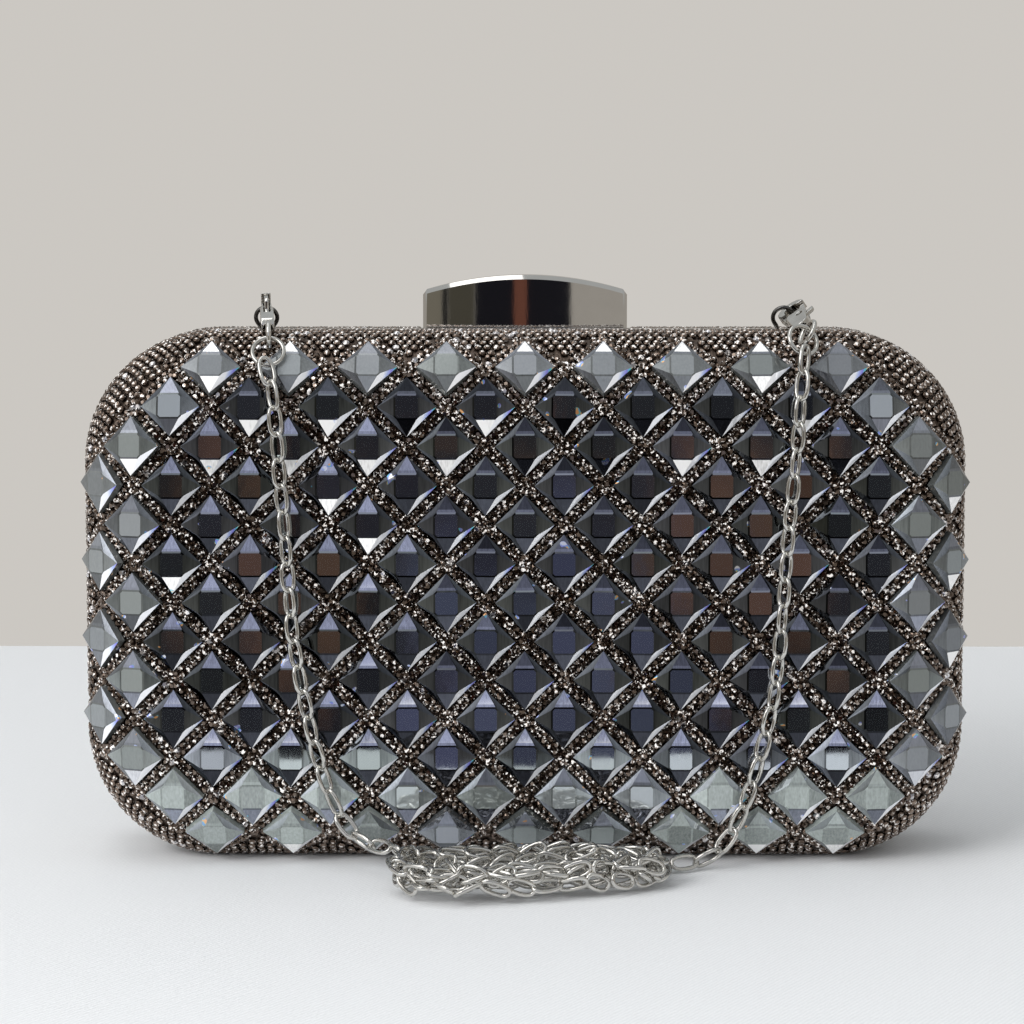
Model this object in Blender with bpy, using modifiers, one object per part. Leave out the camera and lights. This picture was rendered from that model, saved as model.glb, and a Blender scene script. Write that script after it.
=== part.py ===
"""Evening clutch bag: two hinged half cases faced with rhinestone mesh and set crystals, on a chain.

X runs across the bag, Y from front to back and Z up, with the table at Z = 0. All sizes are in
metres. Everything is drawn from the seam plane, and moved back at the end by half the crystals'
height, so that the origin lies under the middle of the case.
"""
import math

import bmesh
import bpy
from mathutils import Matrix, Vector

# The case: its overall size and the clearances that all pieces share
BAG_WIDTH = 0.200
BAG_HEIGHT = 0.120
HALF_DEPTH = 0.025
CORNER_RADIUS = 0.030
EDGE_RADIUS = 0.0175
CORNER_STEPS = 7
EDGE_STEPS = 5
FIT = 0.0003
SEAM_GAP = 0.0003
OVERRUN = 0.0010

# The walls of each half, from the outside in
COVER_WALL = 0.0014
SHELL_WALL = 0.0018
LINING_WALL = 0.0008
LINING_RIM = 0.0010

# The metal rim frame: a flange at the seam and a lip that holds shell and lining
FRAME_PROUD = 0.0003
FLANGE_WIDTH = 0.00245
LIP_WALL = 0.0012
LIP_LENGTH = 0.0049

# The crystals: square flat-backed stones set on their corners
STONE_SIDE = 0.0100
STONE_PITCH = 0.00876
STONE_HEIGHT = 0.0022
STONE_GIRDLE = 0.0008
STONE_SINK = 0.0010
STONE_TABLE = 0.0053
STONE_WRAP = math.radians(48)

# The two knuckle hinges under the bag
HINGE_SHARE = 0.225
KNUCKLE_RADIUS = 0.0012
KNUCKLE_LENGTH = 0.0070
KNUCKLE_BORE = 0.00075
HINGE_PIN_RADIUS = 0.0005
KNUCKLE_SIDES = 16

# The clasp button, a curved bar that stands on the rear half's top
BUTTON_WIDTH = 0.0472
BUTTON_END_HEIGHT = 0.0088
BUTTON_CROWN = 0.0036
BUTTON_END_DEPTH = 0.0052
BUTTON_BULGE = 0.0020
BUTTON_CHAMFER = 0.0005
BUTTON_STATIONS = 12
EAR_REACH = 0.0018
EAR_DEPTH = 0.0030
EAR_WALL = 0.0012
PEG_EDGE = 0.0040
PEG_RADIUS = 0.0010
BUTTON_TRAVEL = 0.0010

# The latch: a leaf spring on the rear half that snaps behind a strike on the front frame
LEAF_WIDTH = 0.0260
LEAF_WALL = 0.0006
LEAF_DROP = 0.0050
LEAF_REACH = 0.0044
NOSE_WALL = 0.0008
NOSE_HEIGHT = 0.0023
NOSE_EDGE = 0.0030
STRIKE_WIDTH = LEAF_WIDTH
STRIKE_WALL = 0.0008
STRIKE_DROP = 0.0032
STRIKE_TAB_WALL = 0.0010
STRIKE_LENGTH = 0.0050
RIVET_EDGE = 0.0030
RIVET_RADIUS = 0.0007
RIVET_HEAD_RADIUS = 0.0014
RIVET_HEAD_HEIGHT = 0.0007
SCREW_EDGE = 0.0050
SCREW_RADIUS = 0.0007
SCREW_HEAD_RADIUS = 0.0016
SCREW_HEAD_HEIGHT = 0.0009
BOSS_EDGE = 0.0010
BOSS_START = 0.0132
BOSS_LENGTH = 0.0026
HOUSING_WALL = 0.0008
HOUSING_DROP = 0.0084

# The chain loops, the wire rings that stand on the front frame
LOOP_SHARE = 0.296
LOOP_WIRE = 0.00055
LOOP_ARCH_RADIUS = 0.0025
LOOP_ARCH_HEIGHT = 0.00275
LOOP_NECK = 0.0024
LOOP_LEAN = math.radians(20)
LOOP_STEPS = 12

# The lobster claws: lengths run from the foot of the body towards its hook
CLAW_FOOT_AT = 0.0015
CLAW_FOOT_RADIUS = 0.0020
CLAW_HEAD_AT = 0.0126
CLAW_HEAD_RADIUS = 0.0035
CLAW_HOLE_START = 0.0098
CLAW_HOLE_RADIUS = 0.00175
CLAW_PLATE = 0.0022
CLAW_CHEEKS = 0.0030
CLAW_CHEEK_AT = 0.0066
CLAW_CHEEK_RADIUS = 0.0023
CLAW_GATE_START = 0.0082
CLAW_GATE_END = 0.0133
CLAW_GATE_SIDE = 0.0006
CLAW_SLOT_START = 0.0041
CLAW_SLOT_SIDE = -0.0007
LEVER_WALL = 0.0010
LEVER_PIVOT_AT = 0.0057
LEVER_PIVOT_SIDE = 0.0009
LEVER_ROOT_RADIUS = 0.0012
LEVER_TIP_RADIUS = 0.0006
LEVER_TIP_SIDE = 0.0025
LEVER_NIB_AT = 0.0066
LEVER_NIB_REACH = 0.0062
LEVER_NIB_RADIUS = 0.0008
CLAW_PIN_RADIUS = 0.0005
SWIVEL_POST_RADIUS = 0.00075
SWIVEL_POST_LENGTH = 0.0030
SWIVEL_EYE_RADIUS = 0.0029
SWIVEL_WIRE = 0.0006
SWIVEL_EYE_AT = -0.0048
CLAW_SWAY = 0.0020
RIGHT_HOOK_ANGLE = math.radians(55)
RIGHT_EYE_TURN = math.radians(-25)

# The jump rings between claw and chain
RING_RADIUS = 0.00355
RING_WIRE = 0.00055
RING_TILT = math.radians(58.6)
LEFT_STANDOFF = 0.0034
RIGHT_STANDOFF = 0.0039
RIGHT_RING_SWING = math.radians(45)
RIGHT_RING_ROLL = math.radians(35)
RIGHT_RING_YAW = math.radians(-25)

# The chain, as the space that its links fill: two hanging runs and the hank in front of the bag
CHAIN_DIAMETER = 0.0032
CHAIN_OUTSET = 0.0019
HANK_PITCH = 0.00405
HANK_TURNS = 2.5
HANK_LOOP_POINTS = 24
HANK_LEFT_RADIUS = 0.0150
HANK_RIGHT_RADIUS = 0.0127
HANK_LEFT = (-0.0135, -0.0500)
HANK_RIGHT = (0.0170, -0.0430)
RUN_STEP = 0.0072
LEFT_RUN = [
    (-0.0560, -0.0291, 0.1085), (-0.0553, -0.0296, 0.1020), (-0.0545, -0.0294, 0.0900),
    (-0.0535, -0.0294, 0.0780), (-0.0527, -0.0294, 0.0660), (-0.0518, -0.0294, 0.0540),
    (-0.0502, -0.0294, 0.0440), (-0.0480, -0.0294, 0.0330), (-0.0455, -0.0294, 0.0230),
    (-0.0430, -0.0295, 0.0160), (-0.0400, -0.0299, 0.0110), (-0.0368, -0.0310, 0.0074),
]
RIGHT_RUN = [
    (0.0612, -0.0291, 0.1085), (0.0607, -0.0296, 0.1020), (0.0600, -0.0294, 0.0920),
    (0.0590, -0.0294, 0.0820), (0.0582, -0.0294, 0.0720), (0.0575, -0.0294, 0.0610),
    (0.0567, -0.0294, 0.0500), (0.0556, -0.0294, 0.0400), (0.0538, -0.0294, 0.0310),
    (0.0514, -0.0294, 0.0220), (0.0487, -0.0293, 0.0140), (0.0458, -0.0289, 0.0078),
    (0.0424, -0.0284, 0.0036), (0.0385, -0.0283, 0.0019),
]

# Places worked out from the sizes above
CENTRE_HEIGHT = FRAME_PROUD + BAG_HEIGHT / 2
TOP = CENTRE_HEIGHT + BAG_HEIGHT / 2
EDGE_CENTRE_DEPTH = HALF_DEPTH - EDGE_RADIUS
EDGE_CENTRE_HEIGHT = TOP - EDGE_RADIUS
SHELL_INSET = COVER_WALL + FIT
LIP_INSET = SHELL_INSET + SHELL_WALL + FIT
FLANGE_INSET = LIP_INSET + LIP_WALL
LINING_INSET = FLANGE_INSET + FIT
SEAM = SEAM_GAP / 2
FLANGE_BACK = SEAM + FLANGE_WIDTH
LIP_END = FLANGE_BACK + LIP_LENGTH
WALL_RIM = FLANGE_BACK + FIT
HINGE_HEIGHT = KNUCKLE_RADIUS
HINGE_OFFSET = HINGE_SHARE * BAG_WIDTH
LOOP_OFFSET = LOOP_SHARE * BAG_WIDTH
PEG_OFFSET = LEAF_WIDTH / 2 - PEG_EDGE
NOSE_WIDTH = LEAF_WIDTH - 2 * NOSE_EDGE
SCREW_OFFSET = LEAF_WIDTH / 2 - SCREW_EDGE
BOSS_WIDTH = LEAF_WIDTH + 2 * BOSS_EDGE
RIVET_OFFSET = STRIKE_WIDTH / 2 - RIVET_EDGE
GROOVE_RADIUS = HINGE_HEIGHT * math.sqrt(2) + FIT
BUTTON_FRONT = WALL_RIM + BUTTON_BULGE
BUTTON_FOOT = TOP - FLANGE_INSET - FIT / 2
LEAF_TOP = TOP - FLANGE_INSET - LEAF_DROP
HOUSING_FLOOR = TOP - FLANGE_INSET - HOUSING_DROP
STRIKE_TOP = TOP - FLANGE_INSET - FIT
STRIKE_START = FLANGE_BACK - LIP_WALL / 3
LOOP_DEPTH = SEAM + FLANGE_WIDTH / 2

SEAM_SHIFT = Matrix.Translation((0, STONE_HEIGHT / 2, 0))

# Half cases are drawn with Z out of the bag, then stood up facing front or back
FRONT = Matrix.Translation((0, 0, CENTRE_HEIGHT)) @ Matrix.Rotation(math.radians(90), 4, "X")
REAR = Matrix.Rotation(math.radians(180), 4, "Z") @ FRONT


def clear_scene():
    for thing in list(bpy.data.objects):
        bpy.data.objects.remove(thing, do_unlink=True)


def new_collection(name):
    collection = bpy.data.collections.new(name)
    bpy.context.scene.collection.children.link(collection)
    return collection


def new_material(name, colour, roughness, metallic=0):
    material = bpy.data.materials.new(name)
    material.use_nodes = True
    shader = material.node_tree.nodes["Principled BSDF"]
    shader.inputs["Base Color"].default_value = (*colour, 1)
    shader.inputs["Roughness"].default_value = roughness
    shader.inputs["Metallic"].default_value = metallic
    return material


def add_object(name, data, matrix=None, cutter=False):
    """Link a mesh or curve as an object: a piece of the bag, or a hidden cutter."""
    thing = bpy.data.objects.new(name, data)
    (CUTTERS if cutter else PIECES).objects.link(thing)
    if matrix is not None:
        thing.matrix_world = matrix
    if cutter:
        thing.hide_render = True
        thing.display_type = "WIRE"
    return thing


def finish_mesh(bm, name):
    """Turn all faces outwards and store the mesh."""
    bmesh.ops.recalc_face_normals(bm, faces=bm.faces)
    mesh = bpy.data.meshes.new(name)
    bm.to_mesh(mesh)
    bm.free()
    return mesh


def boolean(piece, other, operation):
    modifier = piece.modifiers.new(other.name, "BOOLEAN")
    modifier.operation = operation
    modifier.solver = "EXACT"
    modifier.object = other


def cut(piece, *cutters):
    for cutter in cutters:
        boolean(piece, cutter, "DIFFERENCE")


def join(piece, *others):
    for other in others:
        boolean(piece, other, "UNION")


def boxes(name, spans, cutter=True):
    """One object of upright boxes, each given by its lowest and its highest corner."""
    bm = bmesh.new()
    for low, high in spans:
        low, high = Vector(low), Vector(high)
        made = bmesh.ops.create_cube(bm, size=1)["verts"]
        bmesh.ops.scale(bm, vec=high - low, verts=made)
        bmesh.ops.translate(bm, vec=(low + high) / 2, verts=made)
    return add_object(name, finish_mesh(bm, name), cutter=cutter)


def rods(name, spans, radius, sides=KNUCKLE_SIDES, cutter=True, matrix=None):
    """One object of round rods, each given by the middles of its two ends."""
    bm = bmesh.new()
    for start, end in spans:
        start, end = Vector(start), Vector(end)
        turn = Vector((0, 0, 1)).rotation_difference(end - start).to_matrix().to_4x4()
        place = Matrix.Translation((start + end) / 2) @ turn
        bmesh.ops.create_cone(bm, cap_ends=True, segments=sides, radius1=radius, radius2=radius,
                              depth=(end - start).length, matrix=place)
    return add_object(name, finish_mesh(bm, name), matrix, cutter)


def turned(name, profile, sides, matrix, cutter=False):
    """A turned piece: a profile of (radius, height) points that starts and ends on the axis."""
    bm = bmesh.new()
    points = [bm.verts.new((radius, 0, height)) for radius, height in profile]
    edges = [bm.edges.new(pair) for pair in zip(points, points[1:])]
    bmesh.ops.spin(bm, geom=points + edges, axis=(0, 0, 1), cent=(0, 0, 0),
                   angle=math.tau, steps=sides, use_merge=True)
    bmesh.ops.remove_doubles(bm, verts=bm.verts, dist=FIT / 100)
    return add_object(name, finish_mesh(bm, name), matrix, cutter)


def prism_along_x(name, outline, half_width, cutter=False):
    """A flat outline of (y, z) points, drawn out to both sides of the middle plane."""
    bm = bmesh.new()
    face = bm.faces.new([bm.verts.new((-half_width, y, z)) for y, z in outline])
    made = bmesh.ops.extrude_face_region(bm, geom=[face])["geom"]
    far = [item for item in made if isinstance(item, bmesh.types.BMVert)]
    bmesh.ops.translate(bm, vec=(2 * half_width, 0, 0), verts=far)
    return add_object(name, finish_mesh(bm, name), cutter=cutter)


def hull(name, discs, thickness, matrix, sides=20, cutter=True):
    """A flat plate round a few discs, each (along, side, radius), centred on its own plane."""
    bm = bmesh.new()
    for along, side, radius in discs:
        bmesh.ops.create_cone(bm, cap_ends=False, segments=sides, radius1=radius, radius2=radius,
                              depth=thickness, matrix=Matrix.Translation((along, side, 0)))
    bmesh.ops.delete(bm, geom=list(bm.edges), context="EDGES_FACES")
    made = bmesh.ops.convex_hull(bm, input=bm.verts)
    spare = [v for v in made["geom_interior"] + made["geom_unused"] if isinstance(v, bmesh.types.BMVert)]
    bmesh.ops.delete(bm, geom=list(set(spare)), context="VERTS")
    flat = [edge for edge in bm.edges if edge.calc_face_angle(1) < FLAT_ANGLE]
    bmesh.ops.dissolve_edges(bm, edges=flat, use_verts=False)
    return add_object(name, finish_mesh(bm, name), matrix, cutter)


def box_in(name, low, high, matrix):
    """A cutter box in a claw's own directions."""
    box = boxes(name, [(low, high)])
    box.matrix_world = matrix
    return box


# Two faces that meet at less than this angle lie in one plane
FLAT_ANGLE = math.radians(0.2)


def pan_mesh(name, inset, face_inset, rim, closed=False):
    """The outer surface of a half case, set in from the outline: a box with round corners and edge."""
    width, height = BAG_WIDTH - 2 * inset, BAG_HEIGHT - 2 * inset
    face = HALF_DEPTH - face_inset
    bm = bmesh.new()
    bmesh.ops.create_cube(bm, size=1)
    bmesh.ops.scale(bm, vec=(width, height, face - rim), verts=bm.verts)
    bmesh.ops.translate(bm, vec=(0, 0, (face + rim) / 2), verts=bm.verts)
    middle = (face + rim) / 2
    uprights = [e for e in bm.edges if (e.verts[0].co.z - middle) * (e.verts[1].co.z - middle) < 0]
    bmesh.ops.bevel(bm, geom=uprights, offset=CORNER_RADIUS - inset, segments=CORNER_STEPS,
                    profile=0.5, affect="EDGES")
    front_edges = [e for e in bm.edges if all(v.co.z > middle for v in e.verts)]
    bmesh.ops.bevel(bm, geom=front_edges, offset=EDGE_RADIUS - inset, segments=EDGE_STEPS,
                    profile=0.5, affect="EDGES")
    bmesh.ops.recalc_face_normals(bm, faces=bm.faces)
    if not closed:
        mouth = [f for f in bm.faces if all(v.co.z < rim + FIT / 10 for v in f.verts)]
        bmesh.ops.delete(bm, geom=mouth, context="FACES")
    mesh = bpy.data.meshes.new(name)
    bm.to_mesh(mesh)
    bm.free()
    return mesh


def pan(name, stand, inset, face_inset, rim, wall):
    """A shell of even wall, open at the seam."""
    piece = add_object(name, pan_mesh(name, inset, face_inset, rim), stand)
    thicken = piece.modifiers.new("Wall", "SOLIDIFY")
    thicken.thickness = wall
    thicken.offset = -1
    thicken.use_even_offset = True
    thicken.use_quality_normals = True
    return piece


def outline(inset):
    """The bag's outline in front view, set in, as points anticlockwise from the right side."""
    radius = CORNER_RADIUS - inset
    core = (BAG_WIDTH / 2 - CORNER_RADIUS, BAG_HEIGHT / 2 - CORNER_RADIUS)
    points = []
    for quarter, (side, up) in enumerate([(1, 1), (-1, 1), (-1, -1), (1, -1)]):
        for step in range(CORNER_STEPS + 1):
            angle = math.radians(90) * (quarter + step / CORNER_STEPS)
            points.append((side * core[0] + radius * math.cos(angle), up * core[1] + radius * math.sin(angle)))
    return points


def rim_frame(name, stand):
    """The metal frame: an L section, flange and lip, carried round the outline."""
    section = [
        (-FRAME_PROUD, SEAM), (-FRAME_PROUD, FLANGE_BACK), (LIP_INSET, FLANGE_BACK),
        (LIP_INSET, LIP_END), (FLANGE_INSET, LIP_END), (FLANGE_INSET, SEAM),
    ]
    bm = bmesh.new()
    rings = [[bm.verts.new((x, y, depth)) for x, y in outline(inset)] for inset, depth in section]
    for ring, after in zip(rings, rings[1:] + rings[:1]):
        for here in range(len(ring)):
            there = (here + 1) % len(ring)
            bm.faces.new((ring[here], ring[there], after[there], after[here]))
    return add_object(name, finish_mesh(bm, name), stand)


def on_the_case(across, up):
    """Where a point of the flat crystal plan comes on the case, and which way is out there."""
    flat_radius = CORNER_RADIUS - EDGE_RADIUS
    core = Vector((BAG_WIDTH / 2 - CORNER_RADIUS, BAG_HEIGHT / 2 - CORNER_RADIUS))
    nearest = Vector((max(-core.x, min(core.x, across)), max(-core.y, min(core.y, up))))
    away = Vector((across, up)) - nearest
    run = away.length - flat_radius
    if run <= 0:
        return Vector((across, up, HALF_DEPTH)), Vector((0, 0, 1))
    away.normalize()
    angle = run / EDGE_RADIUS
    flat = nearest + away * (flat_radius + EDGE_RADIUS * math.sin(angle))
    place = Vector((flat.x, flat.y, HALF_DEPTH - EDGE_RADIUS * (1 - math.cos(angle))))
    return place, Vector((away.x * math.sin(angle), away.y * math.sin(angle), math.cos(angle)))


def stone_places():
    """The crystals' lattice: every other crossing of columns and rows, as far as they wrap the edge."""
    rows = math.ceil(BAG_HEIGHT / 2 / STONE_PITCH)
    columns = math.ceil(BAG_WIDTH / 2 / STONE_PITCH)
    for row in range(-rows, rows + 1):
        for column in range(-columns, columns + 1):
            place, out = on_the_case(column * STONE_PITCH, row * STONE_PITCH)
            if (row + column) % 2 == 0 and out.z > math.cos(STONE_WRAP):
                yield place, out


def crystals():
    """All crystals as one object: square stones on their corners, each table turned by 45 degrees."""
    half_diagonal = STONE_SIDE / math.sqrt(2)
    girdle = [(half_diagonal, 0), (0, half_diagonal), (-half_diagonal, 0), (0, -half_diagonal)]
    table = [(x * STONE_TABLE / 2, y * STONE_TABLE / 2) for x, y in ((1, 1), (-1, 1), (-1, -1), (1, -1))]
    corners = [(x, y, -STONE_SINK) for x, y in girdle]
    corners += [(x, y, STONE_GIRDLE) for x, y in girdle]
    corners += [(x, y, STONE_HEIGHT) for x, y in table]
    bm = bmesh.new()
    for place, out in stone_places():
        turn = Vector((0, 0, 1)).rotation_difference(out).to_matrix()
        points = [bm.verts.new(place + turn @ Vector(corner)) for corner in corners]
        bmesh.ops.convex_hull(bm, input=points)
    flat = [edge for edge in bm.edges if edge.calc_face_angle(1) < FLAT_ANGLE]
    bmesh.ops.dissolve_edges(bm, edges=flat, use_verts=False)
    return add_object("Crystals", finish_mesh(bm, "Crystals"), FRONT, cutter=True)


def button_loft(name, grow, low, top_rise, chamfer, cutter=False):
    """The clasp button's bar: bowed front and back, arched on top, drawn in sections along X."""
    bm = bmesh.new()
    half = BUTTON_WIDTH / 2
    sections = []
    for station in range(BUTTON_STATIONS + 1):
        share = 2 * station / BUTTON_STATIONS - 1
        bow = BUTTON_BULGE * (1 - share * share)
        front = BUTTON_FRONT - bow - grow
        back = BUTTON_FRONT + BUTTON_END_DEPTH + bow + grow
        top = TOP + BUTTON_END_HEIGHT + BUTTON_CROWN * (1 - share * share) + top_rise
        corners = [(front, low), (back, low), (back, top - chamfer), (back - chamfer, top),
                   (front + chamfer, top), (front, top - chamfer)]
        sections.append([bm.verts.new((share * (half + grow), y, z)) for y, z in corners])
    for section, after in zip(sections, sections[1:]):
        for here in range(len(section)):
            there = (here + 1) % len(section)
            bm.faces.new((section[here], section[there], after[there], after[here]))
    bm.faces.new(sections[0])
    bm.faces.new(sections[-1])
    return add_object(name, finish_mesh(bm, name), cutter=cutter)


def arc_height(radius, depth):
    """The height of an arc round the top edge's centre, at a depth from the seam."""
    return EDGE_CENTRE_HEIGHT + math.sqrt(radius ** 2 - (depth - EDGE_CENTRE_DEPTH) ** 2)


def make_half(side, stand, silver, mesh_finish, plastic, satin):
    """Cover, shell, frame and lining of one half, as nested pans about the rim frame."""
    cover = pan(side + "_cover", stand, 0, 0, WALL_RIM, COVER_WALL)
    shell = pan(side + "_shell", stand, SHELL_INSET, SHELL_INSET, WALL_RIM, SHELL_WALL)
    frame = rim_frame(side + "_frame", stand)
    lining = pan(side + "_lining", stand, LINING_INSET, LIP_INSET, LINING_RIM, LINING_WALL)
    for piece, material in ((cover, mesh_finish), (shell, plastic), (frame, silver), (lining, satin)):
        piece.data.materials.append(material)
    return cover, shell, frame, lining


def housing(side, stand, lining, half_width, length, sign):
    """The lining's moulded box round the latch: a filler cut from the lining's own form, hollowed."""
    filler = add_object(side + "_housing", pan_mesh(side + "_housing", LINING_INSET + LINING_WALL / 2,
                        LIP_INSET + LINING_WALL / 2, LINING_RIM + LINING_WALL / 2, closed=True), stand, True)
    outer = half_width + HOUSING_WALL
    floor = HOUSING_FLOOR - HOUSING_WALL
    near, far = sorted((0, sign * (length + HOUSING_WALL)))
    boolean(filler, boxes(side + "_housing_limit", [((-outer, near, floor), (outer, far, TOP))]), "INTERSECT")
    near, far = sorted((-sign * OVERRUN, sign * length))
    hollow = boxes(side + "_housing_hollow", [((-half_width, near, HOUSING_FLOOR), (half_width, far, TOP))])
    join(lining, filler)
    cut(lining, hollow)


def hinge_knuckles(frame, side, sign, spans):
    """Knuckle barrels and the tabs that carry them, joined to a frame and bored for the pins."""
    barrels = [((low, 0, HINGE_HEIGHT), (high, 0, HINGE_HEIGHT)) for low, high in spans]
    near, far = sorted((sign * (SEAM + KNUCKLE_RADIUS / 12), sign * (FLANGE_BACK - LIP_WALL / 3)))
    top = HINGE_HEIGHT + GROOVE_RADIUS + LIP_WALL / 3
    low_side = HINGE_HEIGHT + KNUCKLE_RADIUS / 12
    tabs = [((low, near, low_side), (high, far, top)) for low, high in spans]
    join(frame, rods(side + "_barrels", barrels, KNUCKLE_RADIUS), boxes(side + "_tabs", tabs))
    reach = HINGE_OFFSET + 2 * KNUCKLE_LENGTH
    cut(frame, rods(side + "_hinge_bore", [((-reach, 0, HINGE_HEIGHT), (reach, 0, HINGE_HEIGHT))], KNUCKLE_BORE))


def hinge_groove():
    """The groove that the frames' bottom edges leave for the barrels and for the opening swing."""
    corner = CORNER_RADIUS + FRAME_PROUD
    reach = BAG_WIDTH / 2 - CORNER_RADIUS + math.sqrt(corner ** 2 - (corner - 2 * HINGE_HEIGHT) ** 2)
    spans = [((-reach, 0, HINGE_HEIGHT), (reach, 0, HINGE_HEIGHT))]
    return rods("Hinge_groove", spans, GROOVE_RADIUS, sides=24)


def make_hinges(front_frame, rear_frame, steel):
    groove = hinge_groove()
    cut(front_frame, groove)
    cut(rear_frame, groove)
    step = KNUCKLE_LENGTH + FIT
    front_spans, rear_spans = [], []
    for centre in (-HINGE_OFFSET, HINGE_OFFSET):
        half = KNUCKLE_LENGTH / 2
        rear_spans.append((centre - half, centre + half))
        front_spans += [(centre - step - half, centre - step + half), (centre + step - half, centre + step + half)]
        name = "hinge_pin_left" if centre < 0 else "hinge_pin_right"
        length = step + half
        profile = [(0, -length), (HINGE_PIN_RADIUS, -length), (HINGE_PIN_RADIUS, length), (0, length)]
        place = Matrix.Translation((centre, 0, HINGE_HEIGHT)) @ Matrix.Rotation(math.radians(90), 4, "Y")
        turned(name, profile, KNUCKLE_SIDES, place).data.materials.append(steel)
    hinge_knuckles(front_frame, "Front", -1, front_spans)
    hinge_knuckles(rear_frame, "Rear", 1, rear_spans)


def make_button(cover, shell, frame, chrome):
    """The clasp button, its opening in the rear half's top and the room for its ears."""
    button = button_loft("clasp_button", 0, BUTTON_FOOT, 0, BUTTON_CHAMFER)
    button.data.materials.append(chrome)
    half = BUTTON_WIDTH / 2
    ear_low = BUTTON_FOOT + EAR_WALL / 10
    ears = []
    for side in (-1, 1):
        near, far = sorted((side * (half - EAR_REACH), side * (half + EAR_REACH)))
        ears.append(((near, BUTTON_FRONT, ear_low), (far, BUTTON_FRONT + EAR_DEPTH, ear_low + EAR_WALL)))
    pegs = [((side * PEG_OFFSET, BUTTON_FRONT + EAR_DEPTH / 2, LEAF_TOP + FIT),
             (side * PEG_OFFSET, BUTTON_FRONT + EAR_DEPTH / 2, BUTTON_FOOT + EAR_WALL / 2)) for side in (-1, 1)]
    join(button, boxes("Button_ears", ears), rods("Button_pegs", pegs, PEG_RADIUS))
    opening = button_loft("Button_opening", FIT, BUTTON_FOOT - OVERRUN, OVERRUN, 0, cutter=True)
    cut(cover, opening)
    cut(shell, opening)
    reach = half + EAR_REACH + FIT
    room = ((-reach, FLANGE_BACK - FIT / 3, TOP - FLANGE_INSET - OVERRUN),
            (reach, LIP_END + OVERRUN, TOP - LIP_INSET + FIT))
    cut(frame, boxes("Button_ear_room", [room]))
    return button


def make_latch(shell, frame, rear_lining, front_lining, steel):
    """Strike plate on the front frame, leaf spring and its boss on the rear shell, and fasteners."""
    strike_outline = [
        (-STRIKE_START, STRIKE_TOP), (-STRIKE_START - STRIKE_LENGTH, STRIKE_TOP),
        (-STRIKE_START - STRIKE_LENGTH, STRIKE_TOP - STRIKE_WALL),
        (-STRIKE_START - STRIKE_TAB_WALL, STRIKE_TOP - STRIKE_WALL),
        (-STRIKE_START - STRIKE_TAB_WALL, STRIKE_TOP - STRIKE_WALL - STRIKE_DROP),
        (-STRIKE_START, STRIKE_TOP - STRIKE_WALL - STRIKE_DROP),
    ]
    strike = prism_along_x("strike_plate", strike_outline, STRIKE_WIDTH / 2)
    rivet_depth = STRIKE_START + (STRIKE_LENGTH + STRIKE_TAB_WALL) / 2
    lip_top = TOP - LIP_INSET
    holes = [((side * RIVET_OFFSET, -rivet_depth, STRIKE_TOP - OVERRUN),
              (side * RIVET_OFFSET, -rivet_depth, lip_top + OVERRUN)) for side in (-1, 1)]
    rivet_holes = rods("Rivet_holes", holes, RIVET_RADIUS + FIT)
    cut(strike, rivet_holes)
    cut(frame, rivet_holes)
    head_top = STRIKE_TOP - STRIKE_WALL - FIT
    rivet = [(0, head_top - RIVET_HEAD_HEIGHT), (RIVET_HEAD_RADIUS * 0.7, head_top - RIVET_HEAD_HEIGHT),
             (RIVET_HEAD_RADIUS, head_top), (RIVET_RADIUS, head_top), (RIVET_RADIUS, lip_top), (0, lip_top)]

    boss_middle = BOSS_START + BOSS_LENGTH / 2
    boss_low = LEAF_TOP + FIT
    boss_top = arc_height(EDGE_RADIUS - SHELL_INSET - SHELL_WALL / 2, boss_middle)
    join(shell, boxes("Latch_boss", [((-BOSS_WIDTH / 2, BOSS_START, boss_low),
                                      (BOSS_WIDTH / 2, BOSS_START + BOSS_LENGTH, boss_top))]))
    leaf_low = LEAF_TOP - LEAF_WALL
    screw_tip = (boss_low + boss_top) / 2
    holes = [((side * SCREW_OFFSET, boss_middle, leaf_low - OVERRUN),
              (side * SCREW_OFFSET, boss_middle, screw_tip + FIT)) for side in (-1, 1)]
    screw_holes = rods("Screw_holes", holes, SCREW_RADIUS + FIT)
    cut(shell, screw_holes)
    leaf = boxes("latch_spring", [((-LEAF_WIDTH / 2, -LEAF_REACH, leaf_low),
                                   (LEAF_WIDTH / 2, BOSS_START + BOSS_LENGTH, LEAF_TOP))], cutter=False)
    join(leaf, boxes("Latch_nose", [((-NOSE_WIDTH / 2, -LEAF_REACH, leaf_low),
                                     (NOSE_WIDTH / 2, NOSE_WALL - LEAF_REACH, LEAF_TOP + NOSE_HEIGHT))]))
    cut(leaf, screw_holes)
    head_top = leaf_low - FIT
    screw = [(0, head_top - SCREW_HEAD_HEIGHT), (SCREW_HEAD_RADIUS, head_top - SCREW_HEAD_HEIGHT),
             (SCREW_HEAD_RADIUS, head_top), (SCREW_RADIUS, head_top), (SCREW_RADIUS, screw_tip), (0, screw_tip)]

    for side, name in ((-1, "left"), (1, "right")):
        place = Matrix.Translation((side * RIVET_OFFSET, -rivet_depth, 0))
        turned("strike_rivet_" + name, rivet, 12, place).data.materials.append(steel)
        place = Matrix.Translation((side * SCREW_OFFSET, boss_middle, 0))
        turned("latch_screw_" + name, screw, 12, place).data.materials.append(steel)
    for piece in (strike, leaf):
        piece.data.materials.append(steel)
    housing("rear", REAR, rear_lining, BUTTON_WIDTH / 2 + EAR_REACH + 2 * FIT,
            BOSS_START + BOSS_LENGTH + 3 * FIT, 1)
    housing("front", FRONT, front_lining, STRIKE_WIDTH / 2 + 4 * FIT, LIP_END + 2 * FIT, -1)
    return leaf


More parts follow.
